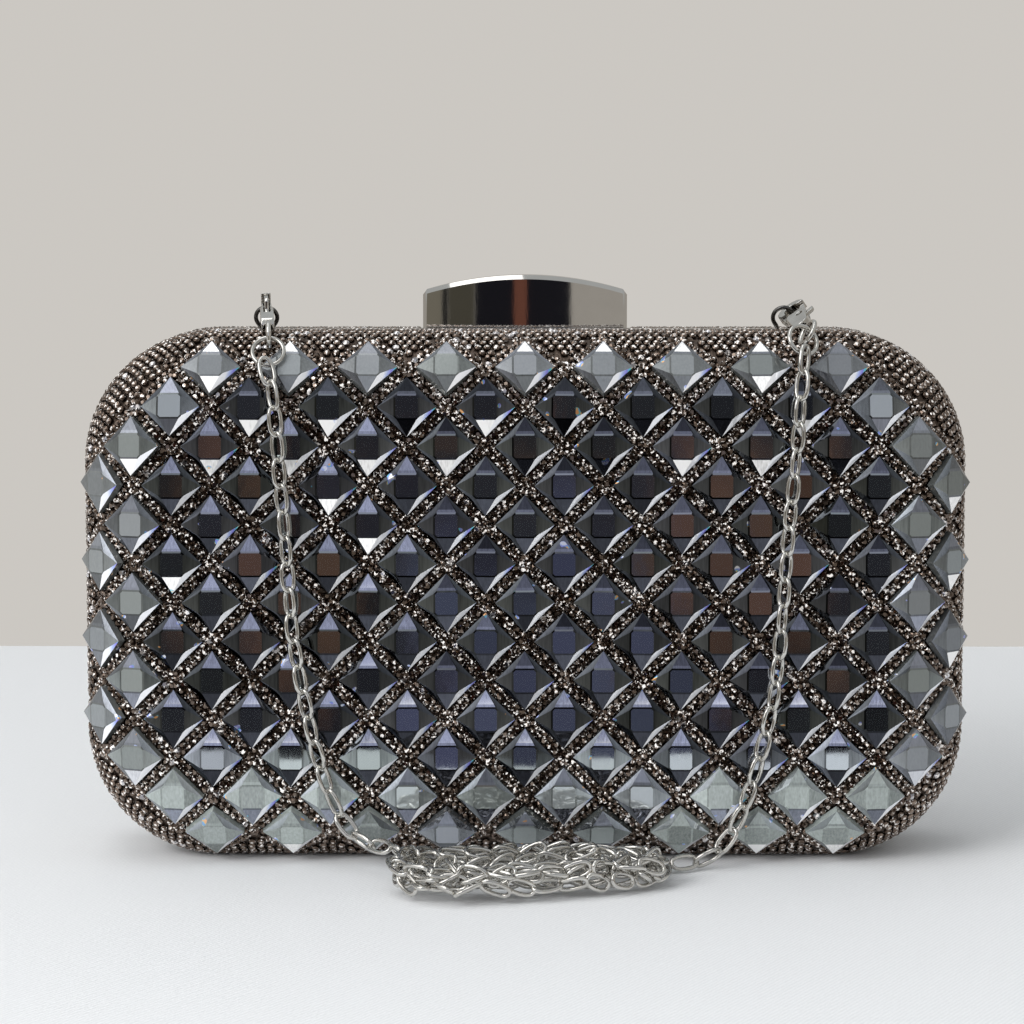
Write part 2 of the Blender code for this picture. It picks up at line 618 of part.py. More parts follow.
def loop_point(x_middle, sideways, height):
    """A point of a chain loop: height runs up its leaning plane from the frame's top."""
    lean = max(height, 0)
    return Vector((x_middle + sideways, -LOOP_DEPTH - lean * math.sin(LOOP_LEAN),
                   TOP + FRAME_PROUD + min(height, 0) + lean * math.cos(LOOP_LEAN)))


def loop_arch_point(x_middle, angle):
    """A point of the loop's arch, by its angle from the top towards +X."""
    return loop_point(x_middle, LOOP_ARCH_RADIUS * math.sin(angle),
                      LOOP_ARCH_HEIGHT + LOOP_ARCH_RADIUS * math.cos(angle))


def tube(name, points, diameter, resolution):
    """A round wire or cord through points, with flat ends."""
    curve = bpy.data.curves.new(name, "CURVE")
    curve.dimensions = "3D"
    curve.bevel_depth = diameter / 2
    curve.bevel_resolution = resolution
    curve.use_fill_caps = True
    spline = curve.splines.new("POLY")
    spline.points.add(len(points) - 1)
    for slot, point in zip(spline.points, points):
        slot.co = (*point, 1)
    return add_object(name, curve)


def make_loops(frame, dark_steel):
    """Two omega-shaped wire loops whose legs go through holes in the front frame's flange."""
    holes = []
    for side, name in ((-1, "left"), (1, "right")):
        middle = side * LOOP_OFFSET
        leg = LOOP_NECK / 2
        foot = -(FLANGE_INSET + FRAME_PROUD - FIT)
        widest = math.radians(130)
        arch = [loop_arch_point(middle, widest * (2 * step / LOOP_STEPS - 1)) for step in range(LOOP_STEPS + 1)]
        start = [loop_point(middle, -leg, foot), loop_point(middle, -leg, FIT)]
        end = [loop_point(middle, leg, FIT), loop_point(middle, leg, foot)]
        loop = tube("chain_loop_" + name, start + arch + end, 2 * LOOP_WIRE, 2)
        loop.data.materials.append(dark_steel)
        for sideways in (-leg, leg):
            holes.append((loop_point(middle, sideways, foot - OVERRUN),
                          loop_point(middle, sideways, 0) + Vector((0, 0, OVERRUN))))
    cut(frame, rods("Loop_holes", holes, LOOP_WIRE + FIT, sides=12))


def claw_tilt(hook_point, length, standoff):
    """How steeply a claw hangs: let down until its ring lies over the crystals on the top edge."""
    low, high = 0, math.radians(60)
    for _ in range(40):
        tilt = (low + high) / 2
        depth = -hook_point.y + length * math.cos(tilt) + RING_RADIUS * math.cos(RING_TILT)
        height = hook_point.z - length * math.sin(tilt) - RING_RADIUS * math.sin(RING_TILT)
        if math.hypot(depth - EDGE_CENTRE_DEPTH, height - EDGE_CENTRE_HEIGHT) > EDGE_RADIUS + standoff:
            low = tilt
        else:
            high = tilt
    return low


def make_claw(name, hook_angle, middle, standoff, eye_turn, ring_swing, ring_roll, ring_yaw, silver, steel):
    """One lobster claw with lever, pin and swivel, hung on its loop, and the jump ring in its eye."""
    seat = CLAW_HEAD_AT + CLAW_HOLE_RADIUS - LOOP_WIRE - 2 * FIT
    inside = SWIVEL_EYE_RADIUS - SWIVEL_WIRE - RING_WIRE - FIT
    eye_seat = SWIVEL_EYE_AT - inside
    hook_point = loop_arch_point(middle, hook_angle)
    tilt = claw_tilt(hook_point, seat - eye_seat, standoff)
    sway = CLAW_SWAY / (seat - eye_seat)
    along = Vector((-sway, math.cos(tilt), math.sin(tilt))).normalized()
    across = Vector((math.cos(hook_angle), 0, -math.sin(hook_angle)))
    across = (across - along * across.dot(along)).normalized()
    upward = across.cross(along)
    stand = Matrix((along, upward, across)).transposed().to_4x4()
    stand.translation = hook_point - along * seat

    foot = (CLAW_FOOT_AT, 0, CLAW_FOOT_RADIUS)
    body = hull("claw_body_" + name, [foot, (CLAW_HEAD_AT, 0, CLAW_HEAD_RADIUS)], CLAW_PLATE, stand, cutter=False)
    cheeks = hull("Claw_cheeks_" + name, [foot, (CLAW_CHEEK_AT, 0, CLAW_CHEEK_RADIUS)], CLAW_CHEEKS, stand)
    join(body, cheeks)
    reach = CLAW_HEAD_RADIUS + OVERRUN
    hole = hull("Claw_hole_" + name, [(CLAW_HOLE_START, 0, CLAW_HOLE_RADIUS), (CLAW_HEAD_AT, 0, CLAW_HOLE_RADIUS)],
                CLAW_CHEEKS + OVERRUN, stand)
    gate = box_in("Claw_gate_" + name, (CLAW_GATE_START, CLAW_GATE_SIDE, -reach), (CLAW_GATE_END, reach, reach), stand)
    slot_half = LEVER_WALL / 2 + FIT
    slot = box_in("Claw_slot_" + name, (CLAW_SLOT_START, CLAW_SLOT_SIDE, -slot_half),
                  (CLAW_HOLE_START, reach, slot_half), stand)
    pivot = (LEVER_PIVOT_AT, LEVER_PIVOT_SIDE)
    pin_half = CLAW_CHEEKS / 2
    pin_hole = rods("Claw_pin_hole_" + name, [((*pivot, -reach), (*pivot, reach))], CLAW_PIN_RADIUS + FIT,
                    sides=12, matrix=stand)
    bore = rods("Claw_bore_" + name, [((-reach, 0, 0), (SWIVEL_POST_LENGTH + FIT, 0, 0))],
                SWIVEL_POST_RADIUS + FIT, sides=12, matrix=stand)
    cut(body, hole, gate, slot, pin_hole, bore)

    lever_stand = stand @ Matrix.Translation((*pivot, 0))
    root = (0, 0, LEVER_ROOT_RADIUS)
    tip_at = CLAW_GATE_END - FIT - LEVER_TIP_RADIUS - LEVER_PIVOT_AT
    lever = hull("claw_lever_" + name, [root, (tip_at, LEVER_TIP_SIDE - LEVER_PIVOT_SIDE, LEVER_TIP_RADIUS)],
                 LEVER_WALL, lever_stand, sides=16, cutter=False)
    nib_at = LEVER_NIB_AT - LEVER_PIVOT_AT
    nib = hull("Lever_nib_" + name, [(nib_at, 0, LEVER_NIB_RADIUS),
               (nib_at, LEVER_NIB_REACH - LEVER_PIVOT_SIDE, LEVER_NIB_RADIUS)],
               LEVER_WALL * 0.9, lever_stand, sides=12)
    join(lever, nib)
    cut(lever, pin_hole)
    pin = turned("claw_pin_" + name, [(0, -pin_half), (CLAW_PIN_RADIUS, -pin_half),
                 (CLAW_PIN_RADIUS, pin_half), (0, pin_half)], 12, lever_stand)

    eye_stand = stand @ Matrix.Translation((SWIVEL_EYE_AT, 0, 0)) @ Matrix.Rotation(eye_turn, 4, "X")
    swivel = ring("claw_swivel_" + name, SWIVEL_EYE_RADIUS, SWIVEL_WIRE, eye_stand)
    post = [((SWIVEL_EYE_AT + SWIVEL_EYE_RADIUS, 0, 0), (SWIVEL_POST_LENGTH, 0, 0))]
    join(swivel, rods("Swivel_post_" + name, post, SWIVEL_POST_RADIUS, sides=12, matrix=stand))

    down = Vector((0, -math.cos(RING_TILT), -math.sin(RING_TILT)))
    sideways = Matrix.Rotation(ring_yaw, 3, down) @ Vector((1, 0, 0))
    held = eye_stand @ Vector((-inside * math.cos(ring_swing), inside * math.sin(ring_swing), 0))
    centre = held + RING_RADIUS * (math.cos(ring_roll) * down - math.sin(ring_roll) * sideways)
    ring_stand = Matrix((sideways, down, sideways.cross(down))).transposed().to_4x4()
    ring_stand.translation = centre
    jump_ring = ring("jump_ring_" + name, RING_RADIUS, RING_WIRE, ring_stand)
    for piece in (body, lever, swivel, jump_ring):
        piece.data.materials.append(silver)
    pin.data.materials.append(steel)
    return lever, centre + down * RING_RADIUS


def ring(name, radius, wire, matrix):
    bpy.ops.mesh.primitive_torus_add(major_segments=20, minor_segments=8, major_radius=radius, minor_radius=wire)
    torus = bpy.context.object
    mesh = torus.data
    bpy.data.objects.remove(torus)
    mesh.name = name
    return add_object(name, mesh, matrix)


def smooth_route(points, step):
    """Points at an even step along a smooth curve through the given ones."""
    points = [Vector(point) for point in points]
    ends = [2 * points[0] - points[1]] + points + [2 * points[-1] - points[-2]]
    fine = []
    for before, start, end, after in zip(ends, ends[1:], ends[2:], ends[3:]):
        for part in range(12):
            t = part / 12
            fine.append(0.5 * (2 * start + (end - before) * t + (2 * before - 5 * start + 4 * end - after) * t * t
                               + (3 * start - before - 3 * end + after) * t ** 3))
    fine.append(points[-1])
    lengths = [0]
    for here, there in zip(fine, fine[1:]):
        lengths.append(lengths[-1] + (there - here).length)
    count = max(2, round(lengths[-1] / step))
    route, at = [], 0
    for part in range(count + 1):
        target = lengths[-1] * part / count
        while at < len(lengths) - 2 and lengths[at + 1] < target:
            at += 1
        share = (target - lengths[at]) / (lengths[at + 1] - lengths[at])
        route.append(fine[at].lerp(fine[at + 1], min(1, share)))
    return route


def hank_point(turns, layer_share):
    """A point of the hank, by turns along its loop from the right end, round the front first."""
    inward = HANK_TURNS - abs(min(turns, HANK_TURNS) + max(turns - HANK_TURNS - 0.5, 0) - HANK_TURNS)
    left_radius = HANK_LEFT_RADIUS - HANK_PITCH * inward
    right_radius = HANK_RIGHT_RADIUS - HANK_PITCH * inward
    left, right = Vector(HANK_LEFT), Vector(HANK_RIGHT)
    axis = right - left
    taper = math.asin((left_radius - right_radius) / axis.length)
    straight = axis.length * math.cos(taper)
    axis.normalize()
    side = Vector((-axis.y, axis.x))
    right_quarter = (math.radians(90) - taper) * right_radius
    left_half = (math.radians(180) + 2 * taper) * left_radius
    run = (turns % 1) * 2 * (right_quarter + straight + left_half / 2)
    front_normal = axis * math.sin(taper) - side * math.cos(taper)
    back_normal = axis * math.sin(taper) + side * math.cos(taper)
    if run < right_quarter:
        angle = run / right_radius
        spot = right + right_radius * (axis * math.cos(angle) - side * math.sin(angle))
    elif run < right_quarter + straight:
        share = (run - right_quarter) / straight
        spot = (right + right_radius * front_normal).lerp(left + left_radius * front_normal, share)
    elif run < right_quarter + straight + left_half:
        angle = math.radians(90) - taper + (run - right_quarter - straight) / left_radius
        spot = left + left_radius * (axis * math.cos(angle) - side * math.sin(angle))
    elif run < right_quarter + 2 * straight + left_half:
        share = (run - right_quarter - straight - left_half) / straight
        spot = (left + left_radius * back_normal).lerp(right + right_radius * back_normal, share)
    else:
        angle = (2 * (right_quarter + straight + left_half / 2) - run) / right_radius
        spot = right + right_radius * (axis * math.cos(angle) + side * math.sin(angle))
    return Vector((spot.x, spot.y, CHAIN_DIAMETER / 2 + FIT / 3 + HANK_PITCH * layer_share))


def hank_route():
    """The hank's loops: in over two and a half turns, up a layer in half a turn, and out again."""
    turns_in_all = 2 * HANK_TURNS + 0.5
    count = round(turns_in_all * HANK_LOOP_POINTS)
    route = []
    for part in range(count + 1):
        turns = turns_in_all * part / count
        climb = max(0, min(1, (turns - HANK_TURNS) * 2))
        route.append(hank_point(turns, climb))
    return route


def straight_end(point, beyond, length):
    """A point that carries a tube straight on for one diameter."""
    return point + (point - beyond).normalized() * length


def least_gap(route, diameter):
    """The least clearance between parts of one tube that aren't neighbours on it, from its points."""
    skip = math.ceil(3 * diameter / (route[1] - route[0]).length)
    least = min((a - b).length for i, a in enumerate(route) for b in route[i + skip:])
    return least - diameter


def make_chain(left_ring, right_ring, silver):
    """The chain's space: a run from each jump ring down the front, and the hank on the table."""
    hank = hank_route()
    hank = [straight_end(hank[0], hank[1], CHAIN_DIAMETER)] + hank
    hank.append(straight_end(hank[-1], hank[-2], CHAIN_DIAMETER))
    pile = tube("chain_pile", hank, CHAIN_DIAMETER, 1)
    print("hank: least gap to itself %.2f mm" % (1000 * least_gap(hank, CHAIN_DIAMETER)))
    drop = Vector((0, -CHAIN_OUTSET, -RING_WIRE - 2 * FIT))
    pieces = [pile]
    for name, ring_foot, points, far in (("left", left_ring, LEFT_RUN, hank[-1]), ("right", right_ring, RIGHT_RUN, hank[0])):
        inner = hank[-2] if name == "left" else hank[1]
        onward = (far - inner).normalized()
        joint = far + onward * FIT
        route = smooth_route([ring_foot + drop] + points + [joint + onward * CHAIN_DIAMETER], RUN_STEP)
        pieces.append(tube("chain_%s_run" % name, route + [joint], CHAIN_DIAMETER, 2))
    for piece in pieces:
        piece.data.materials.append(silver)


def hang_on(pieces, name, place):
    """Parent the pieces of one moving body to an empty at its joint, without moving them."""
    empty = bpy.data.objects.new(name, None)
    PIECES.objects.link(empty)
    empty.matrix_world = place
    for piece in pieces:
        piece.parent = empty
        piece.matrix_parent_inverse = place.inverted()


clear_scene()
PIECES = new_collection("Clutch bag")
CUTTERS = new_collection("Cutters")


def main():
    silver = new_material("Polished nickel", (0.62, 0.61, 0.58), 0.18, 1)
    chrome = new_material("Dark chrome", (0.45, 0.44, 0.42), 0.06, 1)
    steel = new_material("Spring steel", (0.5, 0.5, 0.5), 0.35, 1)
    rhinestone = new_material("Rhinestone mesh", (0.16, 0.13, 0.11), 0.3, 0.6)
    plastic = new_material("Moulded shell", (0.03, 0.03, 0.03), 0.5)
    satin = new_material("Satin lining", (0.05, 0.05, 0.055), 0.6)

    front = make_half("front", FRONT, silver, rhinestone, plastic, satin)
    rear = make_half("rear", REAR, silver, rhinestone, plastic, satin)
    front_cover, front_shell, front_frame, front_lining = front
    rear_cover, rear_shell, rear_frame, rear_lining = rear
    join(front_cover, crystals())
    make_hinges(front_frame, rear_frame, steel)
    button = make_button(rear_cover, rear_shell, rear_frame, chrome)
    leaf = make_latch(rear_shell, front_frame, rear_lining, front_lining, steel)
    make_loops(front_frame, chrome)
    left_lever, left_ring = make_claw("left", 0, -LOOP_OFFSET, LEFT_STANDOFF, 0, 0, 0, 0, silver, steel)
    right_lever, right_ring = make_claw("right", RIGHT_HOOK_ANGLE, LOOP_OFFSET, RIGHT_STANDOFF, RIGHT_EYE_TURN,
                                        RIGHT_RING_SWING, RIGHT_RING_ROLL, RIGHT_RING_YAW, silver, steel)
    make_chain(left_ring, right_ring, silver)

    screws = [bpy.data.objects["latch_screw_left"], bpy.data.objects["latch_screw_right"]]
    hang_on([*rear, leaf, *screws], "Rear half hinge", Matrix.Translation((0, 0, HINGE_HEIGHT)))
    hang_on([button], "Button slide", Matrix.Translation((0, BUTTON_FRONT, BUTTON_FOOT)))
    for thing in [*PIECES.objects, *CUTTERS.objects]:
        if thing.parent is None:
            thing.matrix_world = SEAM_SHIFT @ thing.matrix_world
    for lever in (left_lever, right_lever):
        pivot = lever.matrix_world
        print(lever.name, "pivot", [round(v, 6) for v in pivot.translation],
              "axis", [round(v, 5) for v in pivot.to_3x3().col[2]])


main()
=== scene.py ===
"""The looks of the evening clutch bag: crystals, rhinestone mesh, clasp, chain, table and light.

Everything is in metres in the CAD frame: X across the bag, Y from front to back, Z up.
"""

import math
import random

import bmesh
import bpy
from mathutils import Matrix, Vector
from mathutils.kdtree import KDTree


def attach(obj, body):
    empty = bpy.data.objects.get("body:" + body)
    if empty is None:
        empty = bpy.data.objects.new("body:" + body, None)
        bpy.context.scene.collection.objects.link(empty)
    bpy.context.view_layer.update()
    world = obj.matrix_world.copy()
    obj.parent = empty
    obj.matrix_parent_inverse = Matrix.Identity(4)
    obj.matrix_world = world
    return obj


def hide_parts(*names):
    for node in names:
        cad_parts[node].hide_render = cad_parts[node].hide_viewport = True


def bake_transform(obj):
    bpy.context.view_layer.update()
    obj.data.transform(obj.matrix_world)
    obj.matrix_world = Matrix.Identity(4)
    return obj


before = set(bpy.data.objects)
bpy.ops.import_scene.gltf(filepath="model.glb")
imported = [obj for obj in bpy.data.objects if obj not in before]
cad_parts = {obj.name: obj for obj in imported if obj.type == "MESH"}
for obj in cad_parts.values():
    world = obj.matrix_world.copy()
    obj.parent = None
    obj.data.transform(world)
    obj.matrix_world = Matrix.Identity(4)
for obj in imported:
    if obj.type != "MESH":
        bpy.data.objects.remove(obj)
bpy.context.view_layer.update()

MM = 0.001

# The case, as in the CAD: its outline, its round edges and the seam between its halves
SEAM_Y = 1.1 * MM
BAG_WIDTH = 200 * MM
BAG_HEIGHT = 120 * MM
HALF_DEPTH = 25 * MM
CORNER_RADIUS = 30 * MM
EDGE_RADIUS = 17.5 * MM
CENTRE_Z = 60.3 * MM
RIM_DEPTH = 2.9 * MM
COVER_WALL = 1.4 * MM
CORE_X = BAG_WIDTH / 2 - CORNER_RADIUS
CORE_Z = BAG_HEIGHT / 2 - CORNER_RADIUS
FLAT_RADIUS = CORNER_RADIUS - EDGE_RADIUS

# The crystals: how far apart they are, how far round the edge they go, and how high their facets' edges lie
CRYSTAL_PITCH = 8.76 * MM
CRYSTAL_WRAP = math.radians(48)
CRYSTAL_SIDE = 9.4 * MM
CRYSTAL_HALF = CRYSTAL_SIDE / math.sqrt(2)
CRYSTAL_NEAR = 9 * MM
CRYSTAL_FOOT = -0.6 * MM
CRYSTAL_GIRDLE = 1.15 * MM
TABLE_REACH, TABLE_CLIP, TABLE_HEIGHT = 2.9 * MM, 0.75 * MM, 2.06 * MM
TOP_REACH, TOP_CLIP, TOP_HEIGHT = 2.5 * MM, 0.45 * MM, 2.12 * MM
BROW_REACH, BROW_ASIDE, BROW_START = 3.5 * MM, 1.86 * MM, 2.08 * MM

# The small stones between and around the crystals: sizes, rows, clearances, and how deep their mesh lies
CELL = CRYSTAL_PITCH * math.sqrt(2)
STRIP_STEPS = 7
STRIP_ROW = 0.7 * MM
STRIP_STONE = 1.9 * MM
STRIP_GAP = 0.6 * MM
EDGE_STONE = 2.05 * MM
EDGE_ROW = 0.88 * EDGE_STONE
EDGE_GAP = 0.5 * MM
FILL_STONE = 1.7 * MM
FILL_STEP = 0.7 * MM
FILL_BAND = 6 * MM
FILL_OVERLAP = 0.2 * MM
FILL_SPACE = 1.5 * MM
FILL_APART = 1.4 * MM
REAR_STONE = 2.42 * MM
REAR_STEP = 1.02 * REAR_STONE
REAR_OVERRUN = 2.4 * MM
ROWS_APART = 1.6 * MM
MESH_SINK = 0.5 * MM

# The chain: its two runs and the ground that its heap covers, as in the CAD, in the seam's frame
CHAIN_DIAMETER = 3.2 * MM
LINK_PITCH = 5.8 * MM
LINK_LENGTH = 7.6 * MM
LINK_WIDTH = 4.2 * MM
LINK_WIRE = 1.04 * MM
LOOSE_ROLL, LOOSE_LIFT, LOOSE_ASIDE = 1.3, 0.45, 0.55
HANK_TURNS = 7.5
HANK_POINTS = 24
HANK_BASE = 2.75 * MM
HANK_LAYER = 4.05 * MM
HANK_RIPPLE = 0.35 * MM
HANK_SLACK, HANK_SWING = 4.2 * MM, 3.2 * MM
CHAIN_LOWEST = 2.25 * MM
HEAP_REACH, HEAP_TOP = 32 * MM, 9 * MM
ROUTE_STEP = 1.5 * MM
HANK_LEFT = Vector((-13.5, -51.0)) * MM
HANK_RIGHT = Vector((17.0, -43.0)) * MM
HANK_LEFT_RADIUS = 15.0 * MM
HANK_RIGHT_RADIUS = 12.7 * MM
LEFT_RUN = [
    (-57.21, -27.11, 112.15), (-56.0, -29.1, 108.5), (-55.3, -29.6, 102.0), (-54.5, -29.4, 90.0),
    (-53.5, -29.4, 78.0), (-52.7, -29.4, 66.0), (-51.8, -29.4, 54.0), (-50.2, -29.4, 44.0),
    (-48.0, -29.4, 33.0), (-45.5, -29.4, 23.0), (-43.0, -29.5, 16.0), (-40.0, -29.9, 11.0),
    (-36.8, -31.0, 7.4),
]
RIGHT_RUN = [
    (61.87, -27.35, 114.75), (61.2, -29.1, 108.5), (60.7, -29.6, 102.0), (60.0, -29.4, 92.0),
    (59.0, -29.4, 82.0), (58.2, -29.4, 72.0), (57.5, -29.4, 61.0), (56.7, -29.4, 50.0),
    (55.6, -29.4, 40.0), (53.8, -29.4, 31.0), (51.4, -29.4, 22.0), (48.7, -29.3, 14.0),
    (45.8, -28.9, 7.8), (42.4, -28.4, 3.6), (38.5, -28.3, 1.9),
]

# The clasp bar, as in the CAD
CLASP_WIDTH = 47.2 * MM
CLASP_FRONT = 4.9 * MM
CLASP_DEPTH = 5.2 * MM
CLASP_BULGE = 2.0 * MM
CLASP_END_HEIGHT = 8.8 * MM
CLASP_CROWN = 3.6 * MM
CLASP_FOOT = 115.15 * MM
CLASP_BEVEL = 0.95 * MM
CLASP_INSIDE_Y = SEAM_Y + CLASP_FRONT + 1.5 * MM
CLASP_GAP = 0.3 * MM
BARE_REACH, BARE_DEPTH = CLASP_WIDTH / 2 + 1.2 * MM, 13.2 * MM
EAR_SIZE = Vector((3.6, 3.0, 1.2)) * MM
EAR_RISE = 0.72 * MM
PEG_X = 9 * MM
PEG_RADIUS = 1 * MM
PEG_LENGTH = 5.1 * MM
PEG_DROP = 2 * MM
SPRING_LENGTH = 6 * MM
SPRING_SLICES = 12

# The claw levers' thumb pieces: from how far out they are drawn in, and by what share
THUMB_FROM = 2.2 * MM
THUMB_CUT = 0.78

# How near two points of a mesh lie when they are one, and how much a level may miss
SAME_POINT = 0.001 * MM
SAME_LEVEL = 0.01 * MM


# Nodes

class Wire:
    """A node's output that adds up: an expression on wires and numbers adds the Math nodes for it."""

    def __init__(self, sheet, socket):
        self.sheet, self.socket = sheet, socket

    def out(self, name):
        return Wire(self.sheet, self.socket.node.outputs[name])

    def __add__(self, other):
        return self.sheet.maths("ADD", self, other)

    def __sub__(self, other):
        return self.sheet.maths("SUBTRACT", self, other)

    def __rsub__(self, other):
        return self.sheet.maths("SUBTRACT", other, self)

    def __mul__(self, other):
        return self.sheet.maths("MULTIPLY", self, other)

    __radd__ = __add__
    __rmul__ = __mul__


class Sheet:
    """A node tree that is written as expressions."""

    def __init__(self, tree):
        self.tree = tree

    def add(self, kind, settings=None, values=None, out=0):
        """A node of that type, with its settings and its sockets' values or links."""
        node = self.tree.nodes.new(kind)
        for name, value in (settings or {}).items():
            if name == "stops":
                ramp = node.color_ramp
                while len(ramp.elements) < len(value):
                    ramp.elements.new(1)
                for element, (place, colour) in zip(ramp.elements, value):
                    element.position = place
                    element.color = (*colour, 1)
            else:
                setattr(node, name, value)
        for name, value in (values or {}).items():
            if isinstance(value, Wire):
                self.tree.links.new(value.socket, node.inputs[name])
            elif value is not None:
                socket = node.inputs[name]
                socket.default_value = (*value, 1) if socket.type == "RGBA" and len(value) == 3 else value
        return Wire(self, node.outputs[out]) if node.outputs else node

    def maths(self, operation, *values):
        return self.add("ShaderNodeMath", {"operation": operation}, dict(enumerate(values)))

    def part(self, vector, axis):
        return self.add("ShaderNodeSeparateXYZ", None, {0: vector}).out(axis)

    def blend(self, share, first, second):
        """A colour between two colours."""
        return self.add("ShaderNodeMix", {"data_type": "RGBA"}, {0: share, 6: first, 7: second}, out=2)

    def within(self, value, low, high, soft):
        """One where the value lies between low and high, with soft ends."""
        smooth = {"interpolation_type": "SMOOTHSTEP"}
        rise = self.add("ShaderNodeMapRange", smooth, {0: value, 1: low - soft, 2: low + soft})
        fall = self.add("ShaderNodeMapRange", smooth, {0: value, 1: high - soft, 2: high + soft})
        return rise * (1 - fall)

    def place(self):
        """The object's own coordinates."""
        return self.add("ShaderNodeTexCoord", out="Object")


# Finishes

def new_finish(name, colour, roughness, metallic=0.0, constants=None):
    """A material with its surface shader, and the sheet to wire it on."""
    material = bpy.data.materials.new(name)
    material.use_nodes = True
    material.diffuse_color = (*colour, 1)
    sheet = Sheet(material.node_tree)
    surface = material.node_tree.nodes["Principled BSDF"]
    surface.inputs["Base Color"].default_value = (*colour, 1)
    surface.inputs["Roughness"].default_value = roughness
    surface.inputs["Metallic"].default_value = metallic
    for socket, value in (constants or {}).items():
        surface.inputs[socket].default_value = value
    return material, sheet, surface


def drive(sheet, surface, **wires):
    """Feeds a surface shader's sockets: names are written with underscores."""
    for name, wire in wires.items():
        sheet.tree.links.new(wire.socket, surface.inputs[name.replace("_", " ")])


def grain(sheet, scale, detail=3, stretch=(1, 1, 1)):
    """Fine noise on the object's own place, stretched as asked."""
    place = sheet.add("ShaderNodeMapping", None, {"Vector": sheet.place(), "Scale": stretch})
    return sheet.add("ShaderNodeTexNoise", None, {"Vector": place, "Scale": scale, "Detail": detail})


def bump(sheet, height, distance, strength=1.0):
    return sheet.add("ShaderNodeBump", None, {"Height": height, "Distance": distance, "Strength": strength})


def polished_metal(name, colour, dark, roughness, wear):
    """Plated metal: slightly uneven tone, and hairline wear that dulls the polish."""
    material, sheet, surface = new_finish(name, colour, roughness, 1.0)
    cloud = grain(sheet, 260)
    hair = grain(sheet, 2400, 2, (1, 1, 0.12))
    drive(sheet, surface, Base_Color=sheet.blend(cloud, dark, colour),
          Roughness=roughness + wear * hair * cloud,
          Normal=bump(sheet, hair, 0.004 * MM, 0.4))
    return material


def attribute(sheet, name, out="Fac"):
    return sheet.add("ShaderNodeAttribute", {"attribute_name": name}, out=out)


def crystal_glass():
    """Foiled glass: mirror facets with their painted light and shade, painted flashes and fire, and pale
    facets with a painted reflection of the cloth or walls.
    """
    material, sheet, surface = new_finish("foiled_crystal_glass", (0.7, 0.74, 0.75), 0.03, 1.0)
    black, white = (0.0, 0.0, 0.0), (1.0, 1.0, 1.0)
    along, chance, stone, own = (attribute(sheet, name) for name in (
        "facet_fire", "facet_chance", "stone_chance", "facet_light"))
    kind, tone = (attribute(sheet, name, "Vector") for name in ("facet_kind", "stone_tone"))

    def stones_own(facet, name):
        """The stone's own value for the side that the facet lies on."""
        return sheet.add("ShaderNodeVectorMath", {"operation": "DOT_PRODUCT"},
                         {0: facet, 1: attribute(sheet, name, "Vector")}, out="Value")

    # the facets' light and shade are painted: each facet's own value from the mesh plus its share of the
    # stone's light for its side, varied by chance and, on facets with little light of their own, by painted
    # reflection streaks; the streaks also vary the roughness
    streaks = grain(sheet, 2600, 2, (1, 1, 0.10))
    full = own + stones_own(attribute(sheet, "facet_share", "Vector"), "stone_lights")
    streaked = sheet.within(own, -1, 0.4, 0.05)
    light = full * (0.66 + 0.4 * chance + streaked * (0.85 * streaks - 0.32))
    # a painted highlight: where the painted light passes 0.93 the facet turns white and less metallic
    painted_flash = sheet.within(full, 0.93, 9, 0.06)
    # the side facets are greenish to bluish from stone to stone, the upper and lower ones always bluish, a
    # painted reflection colour
    glass = sheet.blend(stone, (0.60, 0.67, 0.66), (0.70, 0.74, 0.84))
    glass = sheet.blend(sheet.part(kind, "Y"), (0.58, 0.62, 0.78), glass)
    # painted fire: rainbow colours painted on the facets that the mesh marks, in place of dispersed light
    fire_colours = {"stops": [
        (0.0, (0.98, 0.98, 1.0)), (0.5, (0.9, 0.93, 1.0)), (0.64, (0.45, 0.55, 0.9)),
        (0.78, (0.28, 0.25, 0.8)), (0.9, (0.10, 0.60, 0.66)), (1.0, (0.85, 0.45, 0.2))]}
    fire = sheet.add("ShaderNodeValToRGB", fire_colours, {"Fac": along * (0.5 + 0.55 * stone)})
    burning = sheet.within(along, 0.02, 2, 0.02)
    tint = sheet.blend(burning, sheet.blend(painted_flash, glass, white), fire)
    colour = sheet.blend(light, black, tint)
    # by the stone's painted reflection share, a pale painted reflection of the cloth or walls with a weave in
    # it takes the place of the facet's colour
    weave = grain(sheet, 2300, 3, (1, 1, 0.4))
    painted_reflection_share = stones_own(kind, "stone_clear") * (1 - painted_flash)
    pale = sheet.blend(0.15 + 0.35 * chance + 0.55 * weave, black, tone)
    colour = sheet.blend(painted_reflection_share, colour, pale)
    # a few painted specks of fire
    speck = streaked * sheet.within(grain(sheet, 300, 1), 0.725, 2, 0.006)
    sparkle = sheet.add("ShaderNodeValToRGB", fire_colours, {"Fac": 0.05 + 1.5 * grain(sheet, 800, 0)})
    colour = sheet.blend(0.8 * speck, colour, sparkle)
    drive(sheet, surface, Base_Color=colour, Roughness=0.02 + 0.05 * streaks,
          Metallic=1 - 0.7 * painted_flash - 0.8 * painted_reflection_share,
          Normal=bump(sheet, grain(sheet, 320, 1), 0.012 * MM, 0.35))
    return material


